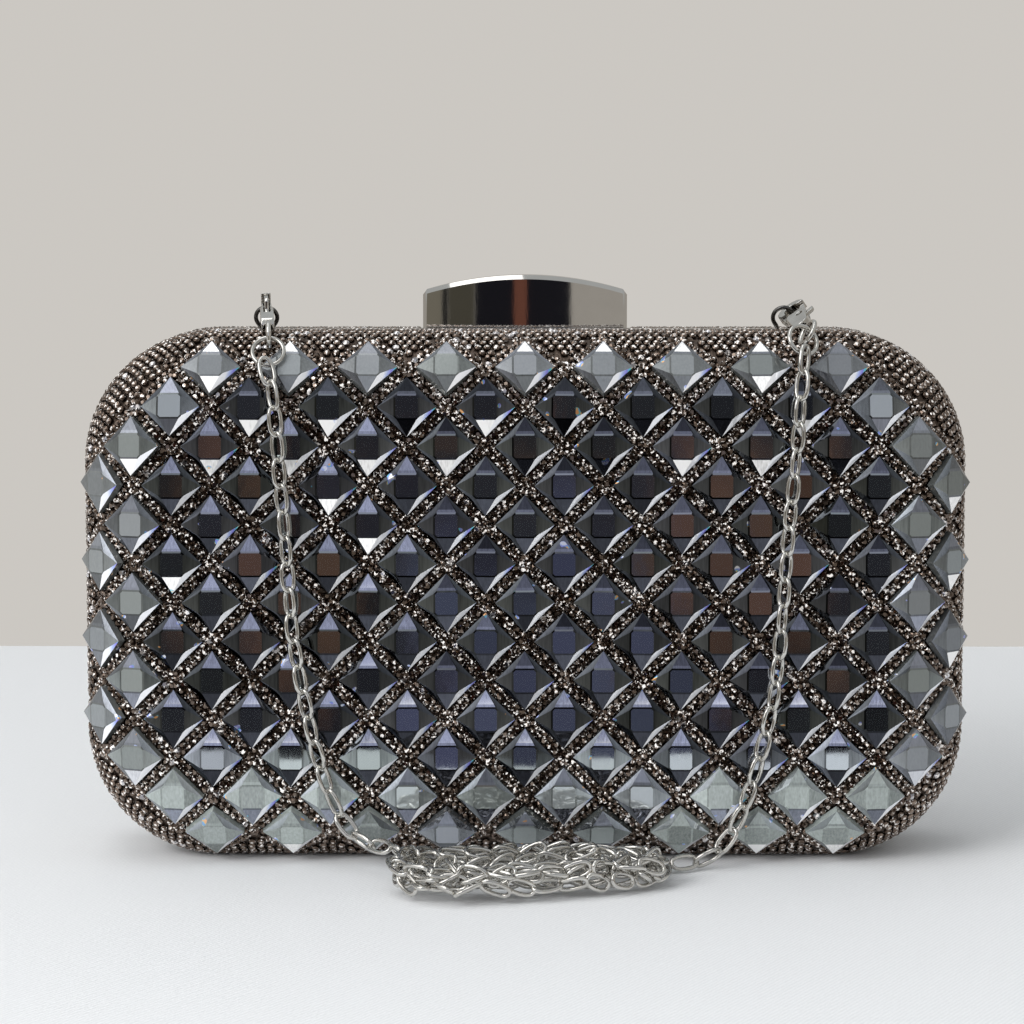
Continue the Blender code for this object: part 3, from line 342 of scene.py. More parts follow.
def small_stone_glass():
    """The small stones' smoky brown glass, with painted sparkles on fine facets here and there, and a few
    white ones.
    """
    material, sheet, surface = new_finish("smoky_stones", (0.10, 0.075, 0.06), 0.1, 1.0)
    chance, stone, shape = (attribute(sheet, name) for name in (
        "facet_chance", "stone_chance", "facet_light"))
    table, domed = sheet.within(shape, 0.5, 2, 0.1), sheet.within(shape, -3, -0.5, 0.1)
    peak = sheet.within(shape, -3, -1.5, 0.15)
    cells = {"Vector": sheet.place(), "Scale": 2300}
    cell = sheet.part(sheet.add("ShaderNodeTexVoronoi", {"feature": "F1"}, cells, out="Color"), "X")
    smoke = sheet.add("ShaderNodeValToRGB", {"stops": [
        (0.0, (0.026, 0.019, 0.015)), (0.35, (0.095, 0.070, 0.055)), (0.7, (0.22, 0.168, 0.135)),
        (1.0, (0.42, 0.34, 0.285))]},
        {"Fac": 0.5 * cell + 0.5 * chance + domed * (0.35 * stone - 0.38 * chance - 0.22 * cell + 0.2)})
    # the table facets get a paler painted reflection
    smoke = sheet.blend(0.30 * table, smoke, (0.34, 0.28, 0.24))
    pale = sheet.within(stone, 0.965, 2, 0.004)
    smoke = sheet.blend(pale * (0.25 + 0.7 * chance), smoke, (0.86, 0.86, 0.9))
    # painted sparkles: chips of the cells and facets past a threshold turn pale and less metallic
    painted_spark = 0.72 * cell + 0.34 * chance + 0.05 * pale + 0.05 * table - 0.06 * domed
    painted_spark = sheet.within(painted_spark, 0.84, 2, 0.03)
    # most domed stones have a painted highlight dot on their peak
    dots = sheet.maths("FRACT", 17 * stone)
    painted_spark = painted_spark + (1 - painted_spark) * peak * sheet.within(dots, 0.25, 2, 0.3)
    colour = sheet.blend(painted_spark, smoke, sheet.blend(chance, (0.86, 0.76, 0.68), (0.98, 0.96, 0.94)))
    drive(sheet, surface, Base_Color=colour, Roughness=0.06 + 0.12 * cell, Metallic=1 - 0.8 * painted_spark)
    return material


def mesh_backing():
    """The bronze cup mesh between and under the stones."""
    material, sheet, surface = new_finish("bronze_cup_mesh", (0.05, 0.036, 0.028), 0.35, 1.0)
    cups = grain(sheet, 1800, 2)
    drive(sheet, surface, Base_Color=sheet.blend(cups, (0.035, 0.026, 0.021), (0.19, 0.145, 0.118)),
          Roughness=0.25 + 0.3 * cups, Normal=bump(sheet, cups, 0.15 * MM))
    return material


def moulded_plastic():
    """Black plastic with the fine pits of its mould."""
    material, sheet, surface = new_finish("black_moulded_plastic", (0.02, 0.02, 0.022), 0.45)
    pits = grain(sheet, 3000, 2)
    colour = sheet.blend(grain(sheet, 120), (0.016, 0.016, 0.018), (0.032, 0.031, 0.033))
    drive(sheet, surface, Base_Color=colour, Roughness=0.38 + 0.2 * pits, Normal=bump(sheet, pits, 0.03 * MM))
    return material


def satin_lining():
    """Dark satin: fine threads both ways, with the sheen of the long ones."""
    material, sheet, surface = new_finish("dark_satin", (0.035, 0.032, 0.036), 0.4, 0.0,
                                          {"Sheen Weight": 0.4, "Sheen Roughness": 0.35})
    warp, weft = (sheet.add("ShaderNodeTexWave", {"bands_direction": way},
                            {"Vector": sheet.place(), "Scale": scale, "Distortion": 1.5})
                  for way, scale in (("X", 900), ("Z", 450)))
    threads = 0.65 * warp + 0.35 * weft
    folds = grain(sheet, 40, 2, (1, 1, 0.3))
    colour = sheet.blend(threads * 0.5 + folds * 0.5, (0.018, 0.016, 0.019), (0.07, 0.064, 0.072))
    drive(sheet, surface, Base_Color=colour, Roughness=0.3 + 0.2 * threads,
          Normal=bump(sheet, threads + 2 * folds, 0.05 * MM))
    return material


def table_cloth():
    """The white cloth on the table, with a faint weave."""
    dim, bright = (0.665, 0.675, 0.69), (0.78, 0.79, 0.80)
    material, sheet, surface = new_finish("white_table_cloth", bright, 0.85)

    def threads(turn):
        way = sheet.add("ShaderNodeMapping", None, {"Vector": sheet.place(), "Rotation": (0, 0, turn)})
        return sheet.add("ShaderNodeTexWave", {"bands_direction": "X"},
                         {"Vector": way, "Scale": 330, "Distortion": 2, "Detail Scale": 2})

    warp, weft = threads(0.5), threads(2.0)
    weave = 0.4 * warp + 0.25 * weft + 0.35 * grain(sheet, 900, 2)
    drive(sheet, surface, Base_Color=sheet.blend(weave, dim, bright),
          Normal=bump(sheet, weave + grain(sheet, 30, 2), 0.12 * MM, 0.6))
    return material


# Geometry trees

def apply_modifiers(piece):
    """Makes the piece's mesh the plain result of its modifiers."""
    made = bpy.data.meshes.new_from_object(piece.evaluated_get(bpy.context.evaluated_depsgraph_get()))
    piece.modifiers.clear()
    piece.data = made


class Tree(Sheet):
    """A geometry tree with named inputs."""

    def __init__(self, name, **inputs):
        super().__init__(bpy.data.node_groups.new(name, "GeometryNodeTree"))
        panel = self.tree.interface
        panel.new_socket("Geometry", in_out="INPUT", socket_type="NodeSocketGeometry")
        panel.new_socket("Geometry", in_out="OUTPUT", socket_type="NodeSocketGeometry")
        self.named = {}
        for label, kind in inputs.items():
            item = panel.new_socket(label, in_out="INPUT", socket_type="NodeSocket" + kind)
            self.named[label] = item.identifier
        self.entry = self.add("NodeGroupInput")

    def given(self, label):
        return self.entry.out(label)

    def carried(self, name, kind="FLOAT"):
        """What the points carry by that name."""
        return self.add("GeometryNodeInputNamedAttribute", {"data_type": kind}, {"Name": name})

    def chance(self, seed, low=-1.0):
        """A random number up to one for each element, from a fixed seed."""
        span = {2: low, 3: 1.0, "Seed": seed}
        return self.add("FunctionNodeRandomValue", {"data_type": "FLOAT"}, span, out=1)

    def mark(self, geometry, name, domain, seed):
        """Gives each element of the domain its own number from 0 to 1, by that name."""
        return self.add("GeometryNodeStoreNamedAttribute", {"data_type": "FLOAT", "domain": domain},
                        {"Geometry": geometry, "Name": name, "Value": self.chance(seed, 0.0)})

    def turned(self, rotation, *angles):
        """A rotation that is turned further about its own axes."""
        angles = self.add("ShaderNodeCombineXYZ", None, dict(enumerate(angles)))
        further = self.add("FunctionNodeEulerToRotation", None, {0: angles})
        return self.add("FunctionNodeRotateRotation", {"rotation_space": "LOCAL"}, {0: rotation, 1: further})

    def copies(self, points, thing, rotation, size=None):
        """Copies of the object that is given by that name, one on each point."""
        shape = self.add("GeometryNodeObjectInfo", None, {"Object": self.given(thing)}, out="Geometry")
        return self.add("GeometryNodeInstanceOnPoints", None,
                        {"Points": points, "Instance": shape, "Rotation": rotation, "Scale": size})

    def solid(self, copies):
        return self.add("GeometryNodeRealizeInstances", None, {"Geometry": copies})

    def finish(self, geometry):
        """The last two nodes: the finish that is given, and the way out."""
        done = self.add("GeometryNodeSetMaterial", None,
                        {"Geometry": geometry, "Material": self.given("Finish")})
        self.tree.links.new(done.socket, self.tree.nodes.new("NodeGroupOutput").inputs[0])

    def run(self, piece, **values):
        """Runs on a piece, whose mesh becomes the plain result."""
        modifier = piece.modifiers.new(self.tree.name, "NODES")
        modifier.node_group = self.tree
        for label, value in values.items():
            modifier[self.named[label]] = value
        apply_modifiers(piece)


def stone_setting():
    """Sets a stone on every point of a mesh, facing outward there but for some tilt and spin."""
    tree = Tree("stone_setting", Stone="Object", Tilt="Float", Spin="Float", Seed="Int", Finish="Material")
    facing_front = tree.add("FunctionNodeEulerToRotation", None, {0: (math.pi / 2, 0, 0)})
    upright = tree.add("FunctionNodeAlignRotationToVector", {"axis": "Z"},
                       {"Rotation": facing_front, "Vector": tree.carried("outward", "FLOAT_VECTOR")})
    seed, tilt = tree.given("Seed"), tree.given("Tilt")
    lean = tree.turned(upright, tilt * tree.chance(seed), tilt * tree.chance(seed + 1),
                       tree.given("Spin") * tree.chance(seed + 2))
    stones = tree.copies(tree.entry, "Stone", lean, tree.carried("size"))
    stones = tree.solid(tree.mark(stones, "stone_chance", "INSTANCE", seed + 3))
    tree.finish(tree.mark(stones, "facet_chance", "FACE", seed + 4))
    return tree


def chain_linking():
    """Hangs links along a line: each lies along it, and turns a quarter from the last."""
    tree = Tree("chain_linking", Link="Object", Links="Int", Sway="Float", Seed="Int", Finish="Material")
    line = tree.add("GeometryNodeMeshToCurve", None, {"Mesh": tree.entry})
    even = tree.add("GeometryNodeResampleCurve", None, {"Curve": line, "Count": tree.given("Links")})
    points = tree.add("GeometryNodeCurveToPoints", {"mode": "EVALUATED"}, {"Curve": even})
    along = tree.add("FunctionNodeAlignRotationToVector", {"axis": "X"}, {"Vector": points.out("Tangent")})
    odd = tree.maths("MODULO", tree.add("GeometryNodeInputIndex"), 2.0)
    seed, loose = tree.given("Seed"), tree.carried("loose")
    roll = (math.pi / 4 + math.pi / 2 * odd
            + (tree.given("Sway") + LOOSE_ROLL * loose) * tree.chance(seed))
    turned = tree.turned(along, roll, LOOSE_LIFT * loose * tree.chance(seed + 1),
                         LOOSE_ASIDE * loose * tree.chance(seed + 2))
    tree.finish(tree.solid(tree.copies(points, "Link", turned)))
    return tree


# Meshes

def add_piece(name, mesh, material=None, shown=True):
    """A new object, which only lends its shape where it isn't shown."""
    piece = bpy.data.objects.new(name, mesh)
    if shown:
        bpy.context.scene.collection.objects.link(piece)
    if material:
        mesh.materials.append(material)
    return piece


def around(ring):
    """Each item of a closed ring with the next one."""
    return list(zip(ring, ring[1:] + ring[:1]))


def band(bm, ring, other):
    """Faces between two rings of as many points each."""
    for (here, below), (there, beyond) in around(list(zip(ring, other))):
        bm.faces.new((here, there, beyond, below))


def block(bm, middle, size):
    """A plain block in a bmesh."""
    made = bmesh.ops.create_cube(bm, size=1)["verts"]
    bmesh.ops.scale(bm, vec=size, verts=made)
    bmesh.ops.translate(bm, vec=middle, verts=made)


def dress(piece, finish):
    """Gives a piece that finish alone."""
    piece.data.materials.clear()
    piece.data.materials.append(finish)


def enter(piece, body, slot, *nodes):
    """Enters a piece in the frame: the body that it rides, and the nodes that it replaces; the slot is not
    used.
    """
    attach(piece, body)
    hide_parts(*nodes)


def merged_copy(name):
    """A CAD node's mesh as a bmesh, its points merged."""
    bm = bmesh.new()
    bm.from_mesh(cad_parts[name].data)
    bmesh.ops.remove_doubles(bm, verts=bm.verts, dist=SAME_POINT)
    return bm


def mesh_of(name, bm, smooth=False):
    """A mesh of a finished bmesh, closed and facing outward."""
    bmesh.ops.recalc_face_normals(bm, faces=bm.faces)
    for face in bm.faces:
        face.smooth = smooth
    mesh = bpy.data.meshes.new(name)
    bm.to_mesh(mesh)
    bm.free()
    return mesh


def points_mesh(name, spots, **extras):
    """Loose points, each with the outward direction and size of its stone, and more vectors by name."""
    mesh = bpy.data.meshes.new(name)
    mesh.from_pydata([place for place, _, _ in spots], [], [])
    for label, values in {"outward": [out for _, out, _ in spots], **extras}.items():
        flat = [number for triple in values for number in triple]
        mesh.attributes.new(label, "FLOAT_VECTOR", "POINT").data.foreach_set("vector", flat)
    mesh.attributes.new("size", "FLOAT", "POINT").data.foreach_set("value", [size for _, _, size in spots])
    return mesh


def from_core(across, up):
    """The nearest point of the rectangle between the rounded corners' centres, and the way from there."""
    nearest = Vector((max(-CORE_X, min(CORE_X, across)), max(-CORE_Z, min(CORE_Z, up))))
    return nearest, Vector((across, up)) - nearest


def on_the_case(across, up, side):
    """Where a point of a half case's flat plan comes on it, and which way is outward there."""
    nearest, away = from_core(across, up)
    run = away.length - FLAT_RADIUS
    if run <= 0:
        return to_side(Vector((across, up, HALF_DEPTH)), side), Vector((0, side, 0))
    away.normalize()
    angle = min(run / EDGE_RADIUS, math.pi / 2)
    past = max(0, run - EDGE_RADIUS * math.pi / 2)
    flat = nearest + away * (FLAT_RADIUS + EDGE_RADIUS * math.sin(angle))
    depth = HALF_DEPTH - EDGE_RADIUS * (1 - math.cos(angle)) - past
    out = Vector((away.x * math.sin(angle), side * math.cos(angle), away.y * math.sin(angle)))
    return to_side(Vector((flat.x, flat.y, depth)), side), out


def to_side(point, side):
    """From across, up and depth to the frame: side is -1 for the front half and 1 for the rear one."""
    return Vector((point.x, SEAM_Y + side * point.z, CENTRE_Z + point.y))


# Crystals and small stones

def crystal_spots():
    """The crystals' places: every other crossing of columns and rows, as far as they wrap the edge."""
    rows = math.ceil(BAG_HEIGHT / 2 / CRYSTAL_PITCH)
    columns = math.ceil(BAG_WIDTH / 2 / CRYSTAL_PITCH)
    spots = []
    for row in range(-rows, rows + 1):
        for column in range(-columns, columns + 1):
            place, out = on_the_case(column * CRYSTAL_PITCH, row * CRYSTAL_PITCH, -1)
            if (row + column) % 2 == 0 and -out.y > math.cos(CRYSTAL_WRAP):
                spots.append((place, out, column, row))
    return spots


def crystal_looks(crystals):
    """Each crystal's painted light on its upper, side and lower facets, its share of a painted reflection of
    the cloth or walls, and that reflection's tone.
    """
    chances = random.Random(7)
    looks = {"stone_lights": [], "stone_clear": [], "stone_tone": []}
    facing, turning = 6, 14  # degrees
    top_row, cloth_reflecting_row, pale_rows = 6, -5, (-3, -4)
    # each row's chance of a painted white highlight on a crystal's lower facets
    painted_white_by_row = {6: 0.35, 5: 0.85, 4: 0.7, 3: 0.2}
    heap_left, heap_right = -34 * MM, 30 * MM
    for place, out, column, row in crystals:
        turned_away = min(1.0, max(0.0, (math.degrees(math.acos(-out.y)) - facing) / turning))
        painted_white_chance = painted_white_by_row.get(row, 0.05) * (0.45 if column > -2 else 1.0)
        # the pale rows and the left side get brighter painted light on their upper facets
        if row in pale_rows:
            upper = chances.uniform(1.16, 1.24)
        elif column < -2 and row < 5:
            upper = chances.uniform(0.95, 1.2)
        else:
            upper = chances.choice((0.07, 0.12, 0.2, 0.3, 0.55))
        side = chances.uniform(0.7, 1.4)
        lower = 1.0 if chances.random() < painted_white_chance else chances.uniform(0.04, 0.15)
        # on the flanks, as the case turns away, a painted reflection of the walls with a grey tone shows more
        grey = chances.uniform(0.09, 0.22) * (1.0 if column < 5 else 0.75)
        tone = Vector((0.94, 1.0, 0.96)) * (0.05 + turned_away * grey)
        clear = Vector((0.08, 0.0, 0.08)).lerp(Vector((0.75, 0.7, 0.7)), turned_away)
        if row <= cloth_reflecting_row:
            # the bottom rows get a painted reflection of the cloth, darkened by a painted shadow where the
            # heap of chain lies before them
            in_painted_heap_shadow = heap_left < place.x < heap_right
            tone = Vector((0.49, 0.55, 0.53)) * chances.uniform(0.8, 1.0) * (0.7 if in_painted_heap_shadow else 1.0)
            clear = Vector((1, 1, 1 if row < cloth_reflecting_row else 0.15)) * (0.35 if in_painted_heap_shadow else 0.95)
            upper, side, lower = 0.8, 4.0, 0.5
        elif row == cloth_reflecting_row + 1:
            side = chances.choice((1.0, 3.0))
        # where the case curves away, the facets get painted light, as of the walls
        bright_uppers = (1.1, 1.35, 1.4, 1.4) if row == top_row else (0.5, 0.9, 1.1)
        upper += turned_away * (chances.choice(bright_uppers) - upper)
        side += turned_away * (chances.uniform(2.6, 4.2) - side)
        lower += turned_away * (chances.choice((0.2, 0.5, 1.0)) - lower)
        for name, value in zip(looks, ((upper, side, lower), clear, tone)):
            looks[name].append(value)
    return looks


def crystal_shape():
    """One square crystal on its corner: table, its narrow ring, main facets, slivers and girdle."""
    bm = bmesh.new()
    light, fire = (bm.loops.layers.float.new(name) for name in ("facet_light", "facet_fire"))
    share, kind = (bm.loops.layers.float_vector.new(name) for name in ("facet_share", "facet_kind"))

    def square(height):
        corners = ((0, 1), (1, 0), (0, -1), (-1, 0))
        return [bm.verts.new((x * CRYSTAL_HALF, y * CRYSTAL_HALF, height)) for x, y in corners]

    def octagon(reach, clip, height):
        ring = [(reach - clip, reach), (reach, reach - clip)]
        for _ in range(3):
            ring += [(y, -x) for x, y in ring[-2:]]
        return [bm.verts.new((x, y, height)) for x, y in ring]

    low, girdle = square(CRYSTAL_FOOT), square(CRYSTAL_GIRDLE)
    table = octagon(TABLE_REACH, TABLE_CLIP, TABLE_HEIGHT)
    top = octagon(TOP_REACH, TOP_CLIP, TOP_HEIGHT)
    slope = (BROW_START - CRYSTAL_GIRDLE) / (CRYSTAL_HALF - TABLE_REACH)
    brow_height = BROW_START - (BROW_REACH - TABLE_REACH) * slope
    brow = [bm.verts.new((x, BROW_REACH, brow_height)) for x in (-BROW_ASIDE, BROW_ASIDE)]

    def facet(verts, lights, axis=None, side_of=None, own=0.0, fires=0.0):
        """A facet with painted light at its corners, either its own or the stone's for its side."""
        face = bm.faces.new(verts)
        for index, loop in enumerate(face.loops):
            value = lights[index] if isinstance(lights, tuple) else lights
            if axis is None:
                loop[light] = value
            else:
                loop[light], loop[share] = own, value * axis
            loop[fire] = fires[index] if isinstance(fires, tuple) else fires
            loop[kind] = side_of or axis or Vector((0, 1, 0))

    upper, side, lower = Vector((1, 0, 0)), Vector((0, 1, 0)), Vector((0, 0, 1))
    half_side = 0.5 * side
    # every facet carries painted light and shade: its own value or a share of its stone's light for its side;
    # the sliver between the east and south facets also gets painted fire
    facet(top, 0.88)
    ring_lights = ((0.05, side), (0.10, side), (0.03, side), (0.35, lower), (0.04, side), (0.08, side),
                   (0.05, side), (0.55, None))
    for (value, axis), ((here, above), (there, beyond)) in zip(ring_lights, around(list(zip(table, top)))):
        facet((here, there, beyond, above), value, axis)
    # the north facet in two, then east, south and west, and the four long slivers between them
    facet((table[7], table[0], brow[1], brow[0]), 0.42, upper, own=0.24)
    facet((brow[0], brow[1], girdle[0]), (0.75, 0.76, 0.70), upper)
    facet((table[1], table[2], girdle[1]), (0.10, 0.13, 0.17), side)
    facet((table[3], table[4], girdle[2]), 1.0, lower)
    facet((table[5], table[6], girdle[3]), (0.15, 0.12, 0.19), side)
    facet((table[0], table[1], girdle[1], girdle[0], brow[1]), (0.08, 0.08, 0.15, 0.12, 0.11),
          side, half_side)
    facet((table[2], table[3], girdle[2], girdle[1]), (1.3, 1.3, 1.3, 1.1),
          None, lower, fires=(0.4, 0.3, 0.1, 1.0))
    facet((table[4], table[5], girdle[3], girdle[2]), (0.05, 0.08, 0.15, 0.06), side, half_side)
    facet((table[6], table[7], brow[0], girdle[0], girdle[3]), (0.07, 0.07, 0.09, 0.12, 0.15),
          side, half_side)
    for (here, below), (there, beyond) in around(list(zip(girdle, low))):
        facet((here, there, beyond, below), 0.25)
    facet(low, 0.1)
    return mesh_of("crystal_shape", bm)


def small_stone_shape(name, domed):
    """One small stone of unit width: crown facets and a point below, with a table or a smooth dome on top."""
    bm = bmesh.new()
    light = bm.loops.layers.float.new("facet_light")
    sides = 8 if domed else 6

    def ring(radius, height, shift=0.0):
        turns = [math.tau * (k + shift) / sides for k in range(sides)]
        return [bm.verts.new((radius * math.cos(turn), radius * math.sin(turn), height)) for turn in turns]

    waist = ring(0.5, -0.08)
    table = ring(0.34, 0.14, 0.5) if domed else ring(0.23, 0.19, 0.5)
    foot = bm.verts.new((0, 0, -0.5))
    # facet_light marks the table with 1, and the dome with -1 and its peak with -2: there the finish paints
    # the table paler and most peaks with a highlight dot
    if domed:
        peak = bm.verts.new((0, 0, 0.25))
        for here, there in around(table):
            bm.faces.new((peak, here, there))
    else:
        for loop in bm.faces.new(table).loops:
            loop[light] = 1.0
    for (here, above), (there, beyond) in around(list(zip(waist, table))):
        bm.faces.new((foot, there, here))
        bm.faces.new((here, there, above))
        bm.faces.new((above, there, beyond))
    if domed:
        for face in bm.faces:
            for loop in face.loops:
                loop[light] = -2.0 if loop.vert == peak else -1.0
    return mesh_of(name, bm, smooth=domed)


def strip_spots(crystals):
    """Two staggered rows of small stones in each strip between crystals."""
    step = CELL / STRIP_STEPS
    taken = {(round((column + row) / 2), round((column - row) / 2)) for _, _, column, row in crystals}
    spots = []
    for i, j in lattice(step):
        on_u, on_v = (n % STRIP_STEPS == STRIP_STEPS // 2 for n in (i, j))
        u, v = (i + 0.5) * step, (j + 0.5) * step
        near = {(round(u / CELL + a), round(v / CELL + b)) for a in (-0.25, 0.25) for b in (-0.25, 0.25)}
        if not (on_u or on_v) or not near & taken:
            continue
        for row in (-1, 1):
            aside, along = row * STRIP_ROW, row * step / 4
            here_u, here_v = (u + aside, v + along) if on_u else (u + along, v + aside)
            spots.append(on_the_case((here_u + here_v) / math.sqrt(2), (here_u - here_v) / math.sqrt(2), -1))
    return spots


def lattice(step):
    """The numbers of a square lattice's points, set on its corner, as far as the case reaches."""
    reach = math.ceil((BAG_WIDTH + BAG_HEIGHT) / step)
    return [(i, j) for i in range(-reach, reach) for j in range(-reach, reach)]


def edge_spots(side):
    """Rows of small stones along the outline, from the seam up the flank and round the bend."""
    total = FLAT_RADIUS + EDGE_RADIUS * math.pi / 2 + HALF_DEPTH - EDGE_RADIUS - RIM_DEPTH
    spots = []
    for row in range(int((total - FLAT_RADIUS) / EDGE_ROW)):
        plan_run = total - EDGE_STONE / 2 - row * EDGE_ROW
        angle = min((plan_run - FLAT_RADIUS) / EDGE_RADIUS, math.pi / 2)
        radius = FLAT_RADIUS + EDGE_RADIUS * math.sin(angle)
        length = 4 * CORE_X + 4 * CORE_Z + math.tau * radius
        count = round(length / EDGE_STONE)
        for number in range(count):
            at = ((number + 0.5 * (row % 2)) * length / count) % length
            spots.append(on_the_case(*row_point(at, radius, plan_run), side))
    return spots


def row_point(at, radius, plan_run):
    """The plan's point of a row at a length along its own closed line, clockwise from the top left."""
    quarter = math.pi / 2 * radius
    corners = [Vector((x * CORE_X, z * CORE_Z)) for x, z in ((-1, 1), (1, 1), (1, -1), (-1, -1))]
    for (start, stop), heading in zip(around(corners), (90, 0, -90, 180)):
        length = (stop - start).length
        if at <= length:
            spot, angle = start.lerp(stop, at / length), math.radians(heading)
            break
        at -= length
        if at <= quarter:
            spot, angle = stop, math.radians(heading - 90 * at / quarter)
            break
        at -= quarter
    else:
        spot, angle = corners[0], math.radians(90)
    return spot.x + plan_run * math.cos(angle), spot.y + plan_run * math.sin(angle)


def near_tree(places):
    """A search tree that finds the nearest of these places."""
    tree = KDTree(len(places))
    for index, place in enumerate(places):
        tree.insert(place, index)
    tree.balance()
    return tree


def clear_of_crystals(spots, crystals, margin):
    """The spots that no crystal covers."""
    sides = []
    for _, out, _, _ in crystals:
        turn = Vector((0, -1, 0)).rotation_difference(out)
        sides.append([turn @ Vector((1, 0, way)).normalized() for way in (1, -1)])
    tree = near_tree([place for place, _, _, _ in crystals])

    def covered(place):
        for centre, index, distance in tree.find_n(place, 4):
            reach = max(abs((place - centre).dot(side)) for side in sides[index])
            if reach < CRYSTAL_SIDE / 2 + margin and distance < CRYSTAL_NEAR:
                return True
        return False

    return [spot for spot in spots if not covered(spot[0])]


def clear_of_spots(spots, others, distance):
    """The spots that lie far enough from the others."""
    tree = near_tree([place for place, _ in others])
    return [spot for spot in spots if tree.find(spot[0])[2] > distance]


def filling_spots(placed, crystals):
    """Smaller stones for the gaps that the strips and the outline's rows leave between them."""
    reach_x, reach_z = math.ceil(BAG_WIDTH / 2 / FILL_STEP), math.ceil(BAG_HEIGHT / 2 / FILL_STEP)
    tries = []
    for i in range(-reach_x, reach_x + 1):
        for j in range(-reach_z, reach_z + 1):
            across, up = i * FILL_STEP, j * FILL_STEP
            if from_core(across, up)[1].length > FLAT_RADIUS - FILL_BAND:
                tries.append(on_the_case(across, up, -1))
    kept = []
    for place, out in clear_of_spots(clear_of_crystals(tries, crystals, -FILL_OVERLAP), placed, FILL_SPACE):
        if all((place - other).length > FILL_APART for other, _ in kept):
            kept.append((place, out))
    return kept


def rear_spots():
    """The rear face's even field of small stones on a square lattice set on its corner."""
    spots = []
    for i, j in lattice(REAR_STEP):
        across, up = (i + j) * REAR_STEP / math.sqrt(2), (i - j) * REAR_STEP / math.sqrt(2)
        if from_core(across, up)[1].length < FLAT_RADIUS + REAR_OVERRUN:
            spots.append(on_the_case(across, up, 1))
    return spots


def backing(name, side):
    """The cup mesh's own sheet: the CAD cover's form, a little inside its face, with even wall."""
    bm = bmesh.new()
    face = HALF_DEPTH - MESH_SINK
    middle = (face + RIM_DEPTH) / 2
    block(bm, (0, 0, middle), (BAG_WIDTH - 2 * MESH_SINK, BAG_HEIGHT - 2 * MESH_SINK, face - RIM_DEPTH))
    uprights = [e for e in bm.edges if (e.verts[0].co.z - middle) * (e.verts[1].co.z - middle) < 0]
    round_off(bm, uprights, CORNER_RADIUS - MESH_SINK, 16)
    round_off(bm, [e for e in bm.edges if all(v.co.z > middle for v in e.verts)], EDGE_RADIUS - MESH_SINK, 12)
    mouth = [f for f in bm.faces if all(v.co.z < RIM_DEPTH + SAME_LEVEL for v in f.verts)]
    bmesh.ops.delete(bm, geom=mouth, context="FACES")
    piece = add_piece(name, mesh_of(name, bm))
    wall = piece.modifiers.new("Wall", "SOLIDIFY")
    wall.thickness = COVER_WALL - MESH_SINK
    wall.offset = -1
    wall.use_even_offset = True
    apply_modifiers(piece)
    for vertex in piece.data.vertices:
        vertex.co = to_side(vertex.co, side)
    if side < 0:
        piece.data.flip_normals()
    return piece


def round_off(bm, edges, radius, segments):
    bmesh.ops.bevel(bm, geom=edges, offset=radius, segments=segments, profile=0.5, affect="EDGES")


def cut_with(piece, cutter):
    """Cuts one piece out of another and drops the cutter."""
    tool = piece.modifiers.new("Cut", "BOOLEAN")
    tool.object = cutter
    tool.solver = "EXACT"
    apply_modifiers(piece)
    bpy.data.objects.remove(cutter)


# The clasp bar

def clasp_bar(grow, stations, foot, bevel):
    """The clasp bar: bowed front and back and an arched top, drawn in sections along X."""
    bm = bmesh.new()
    sections = []
    for station in range(stations + 1):
        share = 2 * station / stations - 1
        swell = 1 - share * share
        front = SEAM_Y + CLASP_FRONT - CLASP_BULGE * swell - grow
        back = SEAM_Y + CLASP_FRONT + CLASP_DEPTH + CLASP_BULGE * swell + grow
        top = CENTRE_Z + BAG_HEIGHT / 2 + CLASP_END_HEIGHT + CLASP_CROWN * swell + grow
        profile = [(front, foot), (back, foot), (back, top), (front, top)]
        sections.append([bm.verts.new((share * (CLASP_WIDTH / 2 + grow), y, z)) for y, z in profile])
    for section, after in zip(sections, sections[1:]):
        band(bm, section, after)
    bm.faces.new(sections[0])
    bm.faces.new(sections[-1])
    if bevel:
        bmesh.ops.recalc_face_normals(bm, faces=bm.faces)
        rims = [e for e in bm.edges if e.calc_face_angle(0) > math.radians(40)
                and not all(v.co.z < foot + SAME_LEVEL for v in e.verts)]
        bmesh.ops.bevel(bm, geom=rims, offset=bevel, segments=1, affect="EDGES")
    return bm


def make_clasp(chrome):
    """The clasp bar with the ears and pegs that it keeps inside the case."""
    bm = clasp_bar(grow=0, stations=64, foot=CLASP_FOOT, bevel=CLASP_BEVEL)
    for side in (-1, 1):
        block(bm, (side * CLASP_WIDTH / 2, CLASP_INSIDE_Y, CLASP_FOOT + EAR_RISE), EAR_SIZE)
        peg = bmesh.ops.create_cone(bm, cap_ends=True, segments=16, radius1=PEG_RADIUS, radius2=PEG_RADIUS,
                                    depth=PEG_LENGTH)["verts"]
        bmesh.ops.translate(bm, vec=(side * PEG_X, CLASP_INSIDE_Y, CLASP_FOOT - PEG_DROP), verts=peg)
    mesh = mesh_of("clasp_bar", bm, smooth=True)
    crisp_edges(mesh, math.radians(35))
    enter(add_piece("clasp_bar", mesh, chrome), "clasp_button", "dark_chrome", "clasp_button")


def make_latch_spring(steel):
    """The latch's leaf spring, a copy of the CAD's, cut in slices across where the clasp's pegs press on it.
    """
    bm = merged_copy("latch_spring")
    for step in range(SPRING_SLICES + 1):
        slice_y = CLASP_INSIDE_Y + SPRING_LENGTH * step / SPRING_SLICES
        parts = bm.verts[:] + bm.edges[:] + bm.faces[:]
        bmesh.ops.bisect_plane(bm, geom=parts, plane_co=(0, slice_y, 0), plane_no=(0, 1, 0))
    piece = add_piece("bending_latch_spring", mesh_of("bending_latch_spring", bm), steel)
    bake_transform(piece)
    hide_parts("latch_spring")


